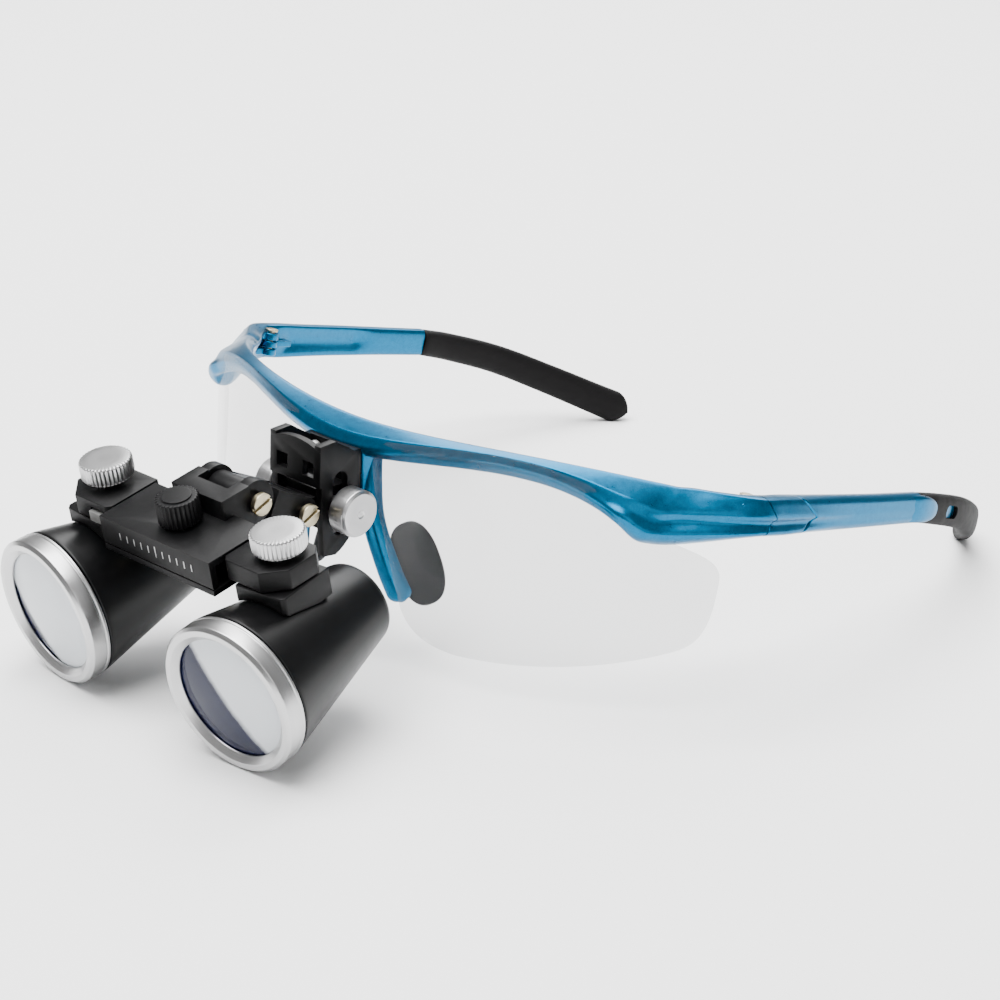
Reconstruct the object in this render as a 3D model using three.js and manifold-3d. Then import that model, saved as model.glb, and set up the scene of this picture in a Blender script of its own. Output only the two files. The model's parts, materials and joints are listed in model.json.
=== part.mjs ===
// Dental loupes: half-rim wrap spectacles that carry a pair of Galilean magnifier barrels.
//
// Millimetres, +Z up, the wearer looks along -Y, and "left" is the wearer's left (+X).
// The loupes stand on a table, on the two front rings and the two temple tips.
//
// Three frames share one origin inside the bridge:
//   face   for the mount bracket and the height slider, upright but for STAND_TILT
//   specs  turned down at the back by SPECS_PITCH, with +Y along the temples
//   head   turned by HEAD_PITCH, with +Y backwards along the barrels and +Z square to them
import * as THREE from 'three';
import { mergeVertices } from 'three/addons/utils/BufferGeometryUtils.js';
import Module from 'manifold-3d';

const wasm = await Module();
wasm.setup();

const { degToRad, lerp } = THREE.MathUtils;
const vec = (x, y, z) => new THREE.Vector3(x, y, z);

// ---------------------------------------------------------------- driving dimensions

const GAP = 0.3; // running clearance between neighbouring pieces
const SPECS_PITCH = degToRad(-13.1);
const HEAD_PITCH = degToRad(12.4);
const STAND_TILT = degToRad(0.47); // the lean at which rings and temple tips both touch the table
const SIDES = [{ side: 'left', s: 1 }, { side: 'right', s: -1 }];

// Brow: the upper and lower edge of its front face, as polynomials of |x| / BROW_REACH.
const BROW_REACH = 70;
const BROW_TOP = { y: [-3.7, 22.7, 18.4], z: [2.0, 13.7, -13.0] };
const BROW_BOTTOM = { y: [-9.4, 41.1, -18.9], z: [-3.0, 44.6, -53.9] };
const BROW_STATIONS = [0, 5, 10, 16, 22, 29, 36, 43, 49, 54, 58];
const BROW_THICK = 3.4;

// Temple hinge: a vertical screw just inside the end piece, behind a V-shaped seam.
const HINGE = { x: 66.5, y: 36, bore: 1.0, screw: 0.7, knuckle: 1.7, half: 2.5, middle: 0.7 };
const SEAM = { y: 35, point: 3.4, half: 4.6 };

// Temple: outer face centre line, with the height and thickness of its section.
const TEMPLE_END = 90;
const SLEEVE_WINDOW = { at: 0.25, length: 7, height: 3.2, depth: 3 }; // in the outer wall only

// Lens: a tilted, slightly barrelled part of a cylinder.
const LENS = { radius: 88, lift: 200, y: -8, z: -3, tilt: Math.tan(degToRad(8)), thick: 2 };

// Mount bracket, in the face frame.
const BRACKET = { half: 7, wall: 1.6, front: -19.6, back: -8.8, top: 1.6, bottom: -21.6 };
const CLAMP = { y: -14.2, z: -11.8, bolt: 1.6, knob: 4.7, knobIn: 8.4, knobOut: 12.8 };
const SLOT = { low: -17.8, high: -4.6 };
const MOUNT_SCREW = { x: 3.6, z: -3.7, shank: 0.8, head: 1.7, hole: 1.15 };
const ACCESS_HOLE = 1.5;

// Flip link, in the face frame: its two pins lie along X.
const REAR_PIVOT = { y: -23.2, z: -10.9 };
const FRONT_PIVOT = { y: -35.5, z: -5.3 };
const PIN = { shank: 1.4, bore: 1.7, head: 2.2, headIn: 7.3, headOut: 8.5, nut: 2.7 };
const FORK = { inner: 4.2, outer: 6.6, tongue: 3.9 };

// Bar, in the head frame.
const BAR = { half: 15.3, front: -55.8, back: -41.7, bottom: -2.9, top: 2.75, wall: 1.4 };
const COVER = { bottom: -4.4, top: -3.2 };
const COVER_SCREW = { x: 11, shank: 0.7, hole: 1.0, head: 1.6, post: 1.7 };
const ARM = { half: 7, top: 6.8, back: -37.2 };
const KNOB = { y: -48.7, radius: 4.2, low: 3.3, high: 8.6, shaft: 1.5 };
const GEAR = { teeth: 9, pitch: 2.7, tip: 3.05, root: 2.25, low: -1.05, high: 1.05 };
const RACK = { inner: -9.2, outer: 21, back: 5.3 };

// Carriages, thumbscrews and barrels, in the head frame.
const CARRIAGE = { inner: 15.9, outer: 29.6, front: -53.2, back: -40.6, low: -1.4, high: 2.75 };
const THUMB = { x: 24, y: -45.9, head: 5.2, headLow: 4.0, headHigh: 7.6, shank: 1.4, end: -4.6 };
const SHOE = { half: 5.8, front: -7.2, back: 5.4, low: -7.4, high: -1.7 };
const BARREL = { axis: -17.6, front: -19.9, toeOut: degToRad(5) };
const RING = { radius: 15.1, depth: 4.4, aperture: 12.1, seat: 13.4 };

// ---------------------------------------------------------------- materials

function finish(color, roughness, metalness) {
  return new THREE.MeshStandardMaterial({ color, roughness, metalness });
}
const FINISH = {
  bluePaint: () => finish(0x0a79a6, 0.28, 0.65),
  clearLens: () => finish(0xeef3f5, 0.05, 0.0),
  rubber: () => finish(0x1b1a1c, 0.75, 0.0),
  blackMetal: () => finish(0x1d1c1e, 0.45, 0.4),
  satin: () => finish(0xc9c9ca, 0.32, 0.95),
  steel: () => finish(0xb4ad98, 0.35, 0.9),
  coatedGlass: () => finish(0xa9bccb, 0.05, 0.0),
};

// ---------------------------------------------------------------- solid helpers

function toSolid(geometry) {
  const bare = geometry.clone();
  bare.deleteAttribute('normal');
  bare.deleteAttribute('uv');
  const welded = mergeVertices(bare, 1e-4);
  const index = welded.index.array;
  const corners = [];
  for (let i = 0; i < index.length; i += 3) {
    const [a, b, c] = [index[i], index[i + 1], index[i + 2]];
    if (a !== b && b !== c && a !== c) corners.push(a, b, c);
  }
  return new wasm.Manifold(new wasm.Mesh({
    numProp: 3,
    vertProperties: new Float32Array(welded.attributes.position.array),
    triVerts: new Uint32Array(corners),
  }));
}

function toGeometry(solid) {
  const { vertProperties, triVerts } = solid.getMesh();
  const geometry = new THREE.BufferGeometry();
  geometry.setAttribute('position', new THREE.BufferAttribute(vertProperties, 3));
  geometry.setIndex(new THREE.BufferAttribute(triVerts, 1));
  return geometry;
}

const join = (...shapes) => toGeometry(shapes.map(toSolid).reduce((sum, one) => sum.add(one)));
const cut = (shape, ...tools) => toGeometry(tools.reduce((rest, tool) => rest.subtract(toSolid(tool)),
  toSolid(shape)));
const common = (a, b) => toGeometry(toSolid(a).intersect(toSolid(b)));

// A copy of a shape reflected in the plane x = 0, with its faces turned back outwards.
function mirrored(shape) {
  const copy = shape.clone().scale(-1, 1, 1);
  const index = Array.from(copy.index.array);
  for (let i = 0; i < index.length; i += 3) [index[i], index[i + 1]] = [index[i + 1], index[i]];
  copy.setIndex(index);
  return copy;
}
const onSide = (shape, s) => (s > 0 ? shape : mirrored(shape));

function block(x0, x1, y0, y1, z0, z1) {
  const box = new THREE.BoxGeometry(x1 - x0, y1 - y0, z1 - z0);
  return box.translate((x0 + x1) / 2, (y0 + y1) / 2, (z0 + z1) / 2);
}

function rod(radius, start, end, segments = 24, endRadius = radius) {
  const along = end.clone().sub(start);
  const geometry = new THREE.CylinderGeometry(endRadius, radius, along.length(), segments);
  const turn = new THREE.Quaternion().setFromUnitVectors(vec(0, 1, 0), along.normalize());
  const middle = start.clone().add(end).multiplyScalar(0.5);
  return geometry.applyQuaternion(turn).translate(middle.x, middle.y, middle.z);
}
const rodX = (radius, x0, x1, y, z, segments) => rod(radius, vec(x0, y, z), vec(x1, y, z), segments);
const rodZ = (radius, x, y, z0, z1, segments) => rod(radius, vec(x, y, z0), vec(x, y, z1), segments);

function outline(points) {
  return new THREE.Shape(points.map(([u, v]) => new THREE.Vector2(u, v)));
}

// Extrusions of an outline drawn in the YZ plane, in the XZ plane and in the XY plane.
function plateX(shape, x0, x1, curveSegments = 8) {
  const geometry = new THREE.ExtrudeGeometry(shape, { depth: x1 - x0, bevelEnabled: false, curveSegments });
  const turn = new THREE.Matrix4().makeBasis(vec(0, 1, 0), vec(0, 0, 1), vec(1, 0, 0));
  return geometry.applyMatrix4(turn).translate(x0, 0, 0);
}
function plateY(shape, y0, y1, curveSegments = 8) {
  const geometry = new THREE.ExtrudeGeometry(shape, { depth: y1 - y0, bevelEnabled: false, curveSegments });
  return geometry.rotateX(Math.PI / 2).translate(0, y1, 0);
}
function plateZ(shape, z0, z1, curveSegments = 8) {
  const geometry = new THREE.ExtrudeGeometry(shape, { depth: z1 - z0, bevelEnabled: false, curveSegments });
  return geometry.translate(0, 0, z0);
}

// A closed skin over rings of points that all have the same count.
function loft(rings) {
  const count = rings[0].length;
  const index = [];
  for (let i = 0; i + 1 < rings.length; i += 1) {
    for (let j = 0; j < count; j += 1) {
      const a = i * count + j;
      const b = i * count + ((j + 1) % count);
      index.push(a, b, a + count, b, b + count, a + count);
    }
  }
  const last = (rings.length - 1) * count;
  for (let j = 1; j + 1 < count; j += 1) {
    index.push(0, j + 1, j);
    index.push(last, last + j, last + j + 1);
  }
  const geometry = new THREE.BufferGeometry();
  const flat = rings.flat().flatMap((p) => [p.x, p.y, p.z]);
  geometry.setAttribute('position', new THREE.Float32BufferAttribute(flat, 3));
  geometry.setIndex(index);
  return volume(geometry) > 0 ? geometry : flipped(geometry);
}

function volume(geometry) {
  const place = geometry.attributes.position;
  const corner = (i) => vec(0, 0, 0).fromBufferAttribute(place, geometry.index.getX(i));
  let sum = 0;
  for (let i = 0; i < geometry.index.count; i += 3) {
    sum += corner(i).dot(corner(i + 1).cross(corner(i + 2)));
  }
  return sum / 6;
}

function flipped(geometry) {
  const index = Array.from(geometry.index.array).reverse();
  geometry.setIndex(index);
  return geometry;
}

// A rounded-rectangle section, as corners at half its height and half its thickness.
const STRIP_SECTION = [
  [1, 0.45], [0.62, 1], [-0.62, 1], [-1, 0.45], [-1, -0.45], [-0.62, -1], [0.62, -1], [1, -0.45],
];

// The rounded-rectangle section swept along a curve. size(t) gives its height and thickness.
function strip(curve, size, steps) {
  const rings = [];
  for (let i = 0; i <= steps; i += 1) {
    const t = i / steps;
    const middle = curve.getPointAt(t);
    const along = curve.getTangentAt(t);
    const across = vec(0, 0, 1).cross(along).normalize();
    const up = along.clone().cross(across).normalize();
    const { height, thick } = size(t);
    rings.push(STRIP_SECTION.map(([v, w]) => middle.clone()
      .addScaledVector(up, (v * height) / 2).addScaledVector(across, (w * thick) / 2)));
  }
  return loft(rings);
}

const turned = (profile, segments) => new THREE.LatheGeometry(
  profile.map(([r, y]) => new THREE.Vector2(r, y)), segments);

// ---------------------------------------------------------------- spectacles: shared shapes

function edgePoint(edge, x) {
  const u = Math.abs(x) / BROW_REACH;
  const y = edge.y[0] + edge.y[1] * u ** 2 + edge.y[2] * u ** 4;
  const z = edge.z[0] + edge.z[1] * u ** 2 + edge.z[2] * u ** 3;
  return vec(x, y, z);
}

// Front face of the lens at (x, z).
function lensFace(x, z) {
  const drop = LENS.z - z;
  const wrap = LENS.radius - Math.sqrt(LENS.radius ** 2 - x ** 2);
  return LENS.y + wrap + drop * LENS.tilt + drop ** 2 / (2 * LENS.lift);
}

// A slab bent to the lens surface, from `front` to `back` behind its front face.
function lensSlab(front, back) {
  const slab = new THREE.BoxGeometry(72, back - front, 50, 12, 1, 4).translate(38, (front + back) / 2, -19);
  const place = slab.attributes.position;
  for (let i = 0; i < place.count; i += 1) {
    const [x, z] = [place.getX(i), place.getZ(i)];
    place.setY(i, place.getY(i) + lensFace(x, z));
  }
  return slab;
}

function lensOutline(grow) {
  const points = [];
  for (const x of [58, 50, 42, 34, 26, 18, 10]) {
    points.push([x, edgePoint(BROW_BOTTOM, x).z + 1.5 + grow]);
  }
  points.push([8.6 - grow, -3.5], [10.4 - grow, -12], [13.2 - grow, -20], [16.2 - grow, -30.5]);
  const shape = outline(points);
  shape.bezierCurveTo(17.4 - grow, -37, 22, -39.2 - grow, 29, -39.2 - grow);
  shape.bezierCurveTo(44, -38.2 - grow, 57, -33.6 - grow, 64.8 + grow, -28);
  shape.bezierCurveTo(68.5 + grow, -25.2, 68.9 + grow, -19, 69.3 + grow, -12.4);
  shape.bezierCurveTo(69.4, -8.8 + grow, 66.5, -8.2 + grow, 61.6, -6.4 + grow);
  return shape;
}

// The V-shaped seam between end piece and temple, seen from the side: everything behind it.
function behindSeam(offset) {
  const { y, point, half } = SEAM;
  const far = y + 60;
  const shape = outline([
    [y + offset, half], [y + point + offset, 0], [y + offset, -half], [far, -half], [far, half],
  ]);
  return plateX(shape, 60, 80);
}

// A point on the centre line of a mount screw, in the face frame.
const mountScrewAt = (s, y) => vec(s * MOUNT_SCREW.x, y, MOUNT_SCREW.z);

// ---------------------------------------------------------------- spectacles: brow frame

function browRing(top, bottom, along, thick) {
  const down = bottom.clone().sub(top);
  const height = down.length();
  down.normalize();
  const out = down.clone().cross(along).normalize();
  const section = [
    [0.05, -0.12], [0.3, 0.16], [0.68, 0.18], [0.95, -0.02],
    [1.0, -0.5], [0.88, -1.0], [0.14, -1.0], [0.0, -0.6],
  ];
  return section.map(([v, w]) => (
    top.clone().addScaledVector(down, v * height).addScaledVector(out, w * thick)));
}

// Hand-set stations of the left end piece, from the brow to behind the seam.
const END_STATIONS = [
  { top: [60.6, 22.6, 3.9], bottom: [60.8, 13.2, -5.9], thick: 4.0 },
  { top: [63.4, 25.6, 4.1], bottom: [62.6, 17.0, -6.5], thick: 4.2 },
  { top: [67.2, 29.2, 4.1], bottom: [67.2, 24.2, -5.4], thick: 4.2 },
  { top: [70.4, 32.8, 4.0], bottom: [70.4, 30.4, -4.4], thick: 4.1 },
  { top: [72.0, 36.2, 3.8], bottom: [72.0, 36.0, -3.8], thick: 4.0 },
  { top: [72.3, 42.0, 3.8], bottom: [72.3, 42.0, -3.8], thick: 4.0 },
];

function browBar() {
  const left = BROW_STATIONS.map((x) => ({
    top: edgePoint(BROW_TOP, x), bottom: edgePoint(BROW_BOTTOM, x), thick: BROW_THICK,
  }));
  left.push(...END_STATIONS.map(({ top, bottom, thick }) => (
    { top: vec(...top), bottom: vec(...bottom), thick })));
  const flip = (p) => vec(-p.x, p.y, p.z);
  const right = left.slice(1).reverse().map(({ top, bottom, thick }) => (
    { top: flip(top), bottom: flip(bottom), thick }));
  const stations = [...right, ...left];
  const middle = stations.map(({ top, bottom }) => top.clone().add(bottom).multiplyScalar(0.5));
  return loft(stations.map(({ top, bottom, thick }, i) => {
    const along = middle[Math.min(i + 1, middle.length - 1)].clone().sub(middle[Math.max(i - 1, 0)]);
    return browRing(top, bottom, along, thick);
  }));
}

function noseArm() {
  const route = new THREE.CatmullRomCurve3([
    vec(5.6, -3.4, -3), vec(7.2, -4.0, -9), vec(9.2, -3.4, -17), vec(12.0, 0.2, -26), vec(14.6, 4.0, -33.2),
  ]);
  const rings = [];
  const steps = 8;
  for (let i = 0; i <= steps; i += 1) {
    const t = i / steps;
    const middle = route.getPointAt(t);
    const along = route.getTangentAt(t);
    const across = vec(0.8, 0.6, 0).cross(along).cross(along).negate().normalize();
    const thin = along.clone().cross(across).normalize();
    const wide = lerp(1.6, 2.2, t);
    rings.push([0, 60, 120, 180, 240, 300].map((deg) => middle.clone()
      .addScaledVector(across, wide * Math.cos(degToRad(deg)))
      .addScaledVector(thin, 1.15 * Math.sin(degToRad(deg)))));
  }
  return loft(rings);
}

// Two knuckles and their leaf, fixed to the end piece; the temple has the middle one.
function knuckle(z0, z1) {
  return rodZ(HINGE.knuckle, HINGE.x, HINGE.y, z0, z1, 16);
}

function browFrame() {
  const upright = (shape) => shape.rotateX(-SPECS_PITCH);
  const bridge = upright(block(-7.4, 7.4, BRACKET.back + GAP, -3.4, -12.6, -0.6));
  const bracketRoom = upright(block(-7.4, 7.4, -26, BRACKET.back + GAP, -24, -0.9));
  let frame = join(browBar(), noseArm(), mirrored(toGeometry(toSolid(noseArm()))), bridge);
  frame = cut(frame, bracketRoom);
  for (const { s } of SIDES) {
    const groove = common(lensSlab(-GAP, LENS.thick + GAP), plateY(lensOutline(GAP), -12, 45));
    const { x, y, bore, knuckle: reach, half, middle } = HINGE;
    const leaf = join(
      knuckle(middle + GAP, half), block(x, x + 2.2, y - 5, y, middle + GAP, half),
      knuckle(-half, -middle - GAP), block(x, x + 2.2, y - 5, y, -half, -middle - GAP),
    );
    const room = join(
      rodZ(reach + GAP, x, y, -middle - GAP, middle + GAP, 16),
      block(x - 3, x + 1.45, y - 0.4, y + 8, -half - 2, half + 2),
    );
    frame = cut(frame, onSide(groove, s), onSide(toGeometry(toSolid(behindSeam(0))), s));
    frame = cut(frame, onSide(toGeometry(toSolid(room)), s));
    frame = join(frame, onSide(leaf, s));
    frame = cut(frame, rodZ(bore, s * x, y, -half - 1, half + 1, 16));
    const hole = rod(MOUNT_SCREW.hole, mountScrewAt(s, -10), mountScrewAt(s, -4.6), 12);
    frame = cut(frame, upright(hole));
  }
  return frame;
}

// ---------------------------------------------------------------- spectacles: temples

const TEMPLE_ROUTE = new THREE.CatmullRomCurve3([
  vec(70.0, 33, 0), vec(70.2, 44, 0), vec(70.9, 60, 0), vec(71.2, 76, 0), vec(71.1, TEMPLE_END, 0),
]);
const SLEEVE_ROUTE = new THREE.CatmullRomCurve3([
  vec(70.9, TEMPLE_END + GAP, 0), vec(70.2, 100, -0.9), vec(67.2, 115, -3.1), vec(61.7, 130, -6.8),
  vec(55.4, 141.4, -10.4), vec(50.4, 147.6, -12.6),
]);
const CORE_ROUTE = new THREE.CatmullRomCurve3([
  vec(71.1, TEMPLE_END - 3, 0), vec(71.0, TEMPLE_END + 1, -0.05), vec(70.2, 100, -0.9), vec(67.2, 115, -3.1),
]);

function round(curve, radius, steps) {
  return strip(curve, () => ({ height: radius * 2, thick: radius * 2 }), steps);
}

function temple() {
  const { x, y, bore, knuckle: reach, half, middle } = HINGE;
  const body = strip(TEMPLE_ROUTE, (t) => ({ height: lerp(7.6, 6.4, t), thick: lerp(4, 3.6, t) }), 10);
  let piece = common(body, behindSeam(GAP));
  piece = cut(piece, rodZ(reach + GAP, x, y, -half - 2, half + 2, 20));
  const leaf = join(
    knuckle(-middle, middle), block(x, x + 1.1, y, y + 6.5, -middle, middle),
    block(x - 0.2, x + 2.6, y + 4.4, y + 7.4, -middle, middle),
  );
  piece = join(piece, leaf, round(CORE_ROUTE, 1.0, 5));
  return cut(piece, rodZ(bore, x, y, -half, half, 16));
}

// Share of the full height that is left near the rounded end of a sleeve.
function roundedEnd(t) {
  const tail = Math.max(0, (t - 0.92) / 0.08);
  return Math.sqrt(1 - 0.8 * tail ** 2);
}

function sleeve() {
  const size = (t) => ({
    height: (6.2 + 1.7 * t) * roundedEnd(t),
    thick: 4.6 - 0.7 * t,
  });
  const skin = strip(SLEEVE_ROUTE, size, 15);
  const { at, length, height, depth } = SLEEVE_WINDOW;
  const middle = SLEEVE_ROUTE.getPointAt(at);
  const along = SLEEVE_ROUTE.getTangentAt(at);
  const across = vec(0, 0, 1).cross(along).normalize();
  const window = new THREE.BoxGeometry(length, depth, height).translate(0, -size(at).thick / 2, 0);
  const basis = new THREE.Matrix4().makeBasis(along, across, along.clone().cross(across));
  window.applyMatrix4(basis).translate(middle.x, middle.y, middle.z);
  return cut(skin, window, round(CORE_ROUTE, 1.0 + GAP, 5));
}

function hingeScrew(s) {
  const { x, y, screw, half } = HINGE;
  const shank = rodZ(screw, s * x, y, -half, half + 0.4, 12);
  return join(shank, rodZ(1.4, s * x, y, half + GAP, half + 0.9, 12));
}

function nosePad() {
  const pad = new THREE.SphereGeometry(1, 14, 9).scale(1.9, 4.6, 8.4);
  pad.rotateX(degToRad(20)).rotateZ(degToRad(-32)).rotateY(degToRad(-14));
  return cut(pad.translate(12.6, 8.0, -25.5), noseArmRoom());
}

function noseArmRoom() {
  const arm = noseArm();
  const grown = [];
  for (const [x, y] of [[0, 0], [GAP, 0], [-GAP, 0], [0, GAP]]) grown.push(arm.clone().translate(x, y, 0));
  return join(...grown);
}

// ---------------------------------------------------------------- mount, in the face frame

function mountBracket() {
  const { half, wall, front, back, top, bottom } = BRACKET;
  const cheek = new THREE.Shape();
  cheek.moveTo(front, top);
  cheek.lineTo(-15.5, top + 0.2);
  cheek.lineTo(-10.6, -1.2);
  cheek.lineTo(back, -1.2);
  cheek.lineTo(back, -14);
  cheek.quadraticCurveTo(-10.5, -19.5, -15.2, bottom);
  cheek.lineTo(front + 1.2, bottom + 0.4);
  cheek.closePath();
  const slot = new THREE.Path();
  const reach = CLAMP.bolt + GAP;
  slot.absarc(CLAMP.y, SLOT.high - reach, reach, 0, Math.PI, false);
  slot.absarc(CLAMP.y, SLOT.low + reach, reach, Math.PI, 2 * Math.PI, false);
  slot.closePath();
  cheek.holes.push(slot);
  const plate = new THREE.Shape();
  plate.moveTo(-half, -6.9);
  plate.lineTo(half, -6.9);
  plate.lineTo(half, top - 1.2);
  plate.quadraticCurveTo(0, top + 1.8, -half, top - 1.2);
  plate.closePath();
  const wallBack = block(-half, half, back - 1.4, back, -13.5, -1.2);
  let piece = join(
    plateX(cheek, half - wall, half), plateX(cheek, -half, -half + wall),
    plateY(plate, front, front + 1.5), wallBack,
  );
  for (const { s } of SIDES) {
    const { x, z } = MOUNT_SCREW;
    const reach = ACCESS_HOLE;
    const access = block(s * x - reach, s * x + reach, front - 1, front + 3, z - reach, z + reach);
    const hole = rod(MOUNT_SCREW.hole, mountScrewAt(s, back - 3), mountScrewAt(s, back + 1), 12);
    piece = cut(piece, access, hole);
  }
  return piece;
}

function bracketScrew(s) {
  const { shank, head } = MOUNT_SCREW;
  const { back } = BRACKET;
  return join(
    rod(shank, mountScrewAt(s, back - 2), mountScrewAt(s, -5), 12),
    rod(head, mountScrewAt(s, back - 2.9), mountScrewAt(s, back - 1.4 - GAP), 12),
  );
}

function heightSlider() {
  const { y, z } = REAR_PIVOT;
  const inside = BRACKET.half - BRACKET.wall - GAP;
  const body = block(-inside, inside, BRACKET.front + 1.9, -10.5, -16.2, -8.2);
  const neck = block(-FORK.tongue, FORK.tongue, y, -17, -13.8, -9.8);
  const lug = rodX(3.2, -FORK.tongue, FORK.tongue, y, z, 32);
  return cut(join(body, neck, lug),
    rodX(CLAMP.bolt + GAP, -9, 9, CLAMP.y, CLAMP.z, 16), rodX(PIN.bore, -9, 9, y, z, 12));
}

function clampKnob(s) {
  const { y, z, knob, knobIn, knobOut, bolt } = CLAMP;
  const [x0, x1] = s > 0 ? [knobIn, knobOut] : [-knobOut, -knobIn];
  const collar = s > 0 ? [BRACKET.half + GAP, knobIn + 0.2] : [-knobIn - 0.2, -BRACKET.half - GAP];
  const piece = join(rodX(knob, x0, x1, y, z, 24), rodX(3.0, collar[0], collar[1], y, z, 16));
  const reach = knobIn + 2.4;
  const bore = s > 0 ? [0, reach + GAP] : [-reach - GAP, 0];
  return cut(piece, rodX(bolt + GAP, bore[0], bore[1], y, z, 16));
}

const clampBolt = () => rodX(CLAMP.bolt, -CLAMP.knobIn - 2.2, CLAMP.knobIn + 2.2, CLAMP.y, CLAMP.z, 16);

function flipLink() {
  const rear = vec(0, REAR_PIVOT.y, REAR_PIVOT.z);
  const front = vec(0, FRONT_PIVOT.y, FRONT_PIVOT.z);
  const along = front.clone().sub(rear).normalize();
  const span = front.distanceTo(rear);
  const tilt = new THREE.Matrix4()
    .makeBasis(vec(1, 0, 0), along, vec(1, 0, 0).cross(along))
    .setPosition(rear);
  const bar = (x0, x1, y0, y1, half) => block(x0, x1, y0, y1, -half, half).applyMatrix4(tilt);
  const parts = [
    bar(-FORK.outer, FORK.outer, 3.7, span - 4.9, 3.2),
    bar(-FORK.tongue, FORK.tongue, 5, span, 3.2),
    rodX(3.4, -FORK.tongue, FORK.tongue, front.y, front.z, 32),
  ];
  for (const { s } of SIDES) {
    const [x0, x1] = s > 0 ? [FORK.inner, FORK.outer] : [-FORK.outer, -FORK.inner];
    parts.push(rodX(3.2, x0, x1, rear.y, rear.z, 32), bar(x0, x1, 0, 5, 3.2));
  }
  const holes = [rear, front].map((p) => rodX(PIN.bore, -9, 9, p.y, p.z, 12));
  return cut(join(...parts), ...holes);
}

function linkPin(pivot) {
  const { shank, head, headIn, headOut } = PIN;
  const slot = block(headOut - 0.6, headOut + 1, pivot.y - 0.35, pivot.y + 0.35, pivot.z - 3, pivot.z + 3);
  const pin = join(rodX(shank, -9, headIn + 0.2, pivot.y, pivot.z, 12),
    rodX(head, headIn, headOut, pivot.y, pivot.z, 20));
  return cut(pin, slot);
}

function linkNut(pivot) {
  return cut(rodX(PIN.nut, -PIN.headOut - 0.6, -PIN.headIn, pivot.y, pivot.z, 6),
    rodX(PIN.bore, -10, 0, pivot.y, pivot.z, 12));
}

// ---------------------------------------------------------------- bar, in the head frame

function inHead({ y, z }) {
  return vec(0, y, z).applyAxisAngle(vec(1, 0, 0), -HEAD_PITCH);
}

function barHousing() {
  const { half, front, back, bottom, top, wall } = BAR;
  const pivot = inHead(FRONT_PIVOT);
  const body = block(-half, half, front, back, bottom, top);
  const arm = block(-ARM.half, ARM.half, back - 2.4, ARM.back, bottom, ARM.top);
  const lugs = join(rodX(4.3, -FORK.outer, FORK.outer, pivot.y, pivot.z, 32),
    block(-FORK.outer, FORK.outer, ARM.back - 1, pivot.y, pivot.z - 4.3, pivot.z + 3.6));
  const channel = block(-half - 1, half + 1, front + wall, KNOB.y + RACK.back + GAP, bottom - 1, top - 1.4);
  const yoke = block(-FORK.inner, FORK.inner, pivot.y - 4.2, pivot.y + 9, -9, 20);
  const posts = SIDES.map(({ s }) => rodZ(COVER_SCREW.post, s * COVER_SCREW.x, KNOB.y, bottom, top - 1, 16));
  let piece = cut(join(body, arm, lugs), channel, yoke);
  piece = join(piece, ...posts);
  const screwHoles = SIDES.map(({ s }) => (
    rodZ(COVER_SCREW.hole, s * COVER_SCREW.x, KNOB.y, bottom - 1, top - 2.9, 12)));
  const shaftHole = rodZ(KNOB.shaft + GAP, 0, KNOB.y, top - 3, top + 1, 16);
  const pinHole = rodX(PIN.bore, -9, 9, pivot.y, pivot.z, 12);
  return cut(piece, shaftHole, pinHole, ...screwHoles);
}

function barCover() {
  const plate = block(-BAR.half, BAR.half, BAR.front, BAR.back, COVER.bottom, COVER.top);
  const { x, hole } = COVER_SCREW;
  return cut(plate, ...SIDES.map(({ s }) => (
    rodZ(hole, s * x, KNOB.y, COVER.bottom - 1, COVER.top + 1, 12))));
}

function coverScrew(s) {
  const { bottom } = COVER;
  const { x, shank, head } = COVER_SCREW;
  return join(
    rodZ(shank, s * x, KNOB.y, bottom - 0.5, BAR.top - 3.2, 12),
    rodZ(head, s * x, KNOB.y, bottom - GAP - 0.8, bottom - GAP, 16),
  );
}

function pdKnob() {
  const { y, radius, low, high, shaft } = KNOB;
  const knob = join(rodZ(radius, 0, y, low, high, 24), rodZ(3.2, 0, y, BAR.top + GAP, low + 0.2, 16));
  return cut(knob, rodZ(shaft + GAP, 0, y, BAR.top, high - 1.5, 12));
}

// Gear and racks have shortened teeth with play between them.
function pinion() {
  const { teeth, tip, root, low, high } = GEAR;
  const shape = new THREE.Shape();
  const step = (2 * Math.PI) / teeth;
  for (let i = 0; i < teeth; i += 1) {
    const flank = [[-0.30, root], [-0.12, tip], [0.12, tip], [0.30, root]];
    flank.forEach(([turn, r], k) => {
      const angle = (i + turn) * step;
      const point = [r * Math.cos(angle), KNOB.y + r * Math.sin(angle)];
      if (i + k === 0) shape.moveTo(...point);
      else shape.lineTo(...point);
    });
  }
  shape.closePath();
  return join(plateZ(shape, low, high), rodZ(KNOB.shaft, 0, KNOB.y, low, KNOB.high - 1.5 - GAP, 12));
}

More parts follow.
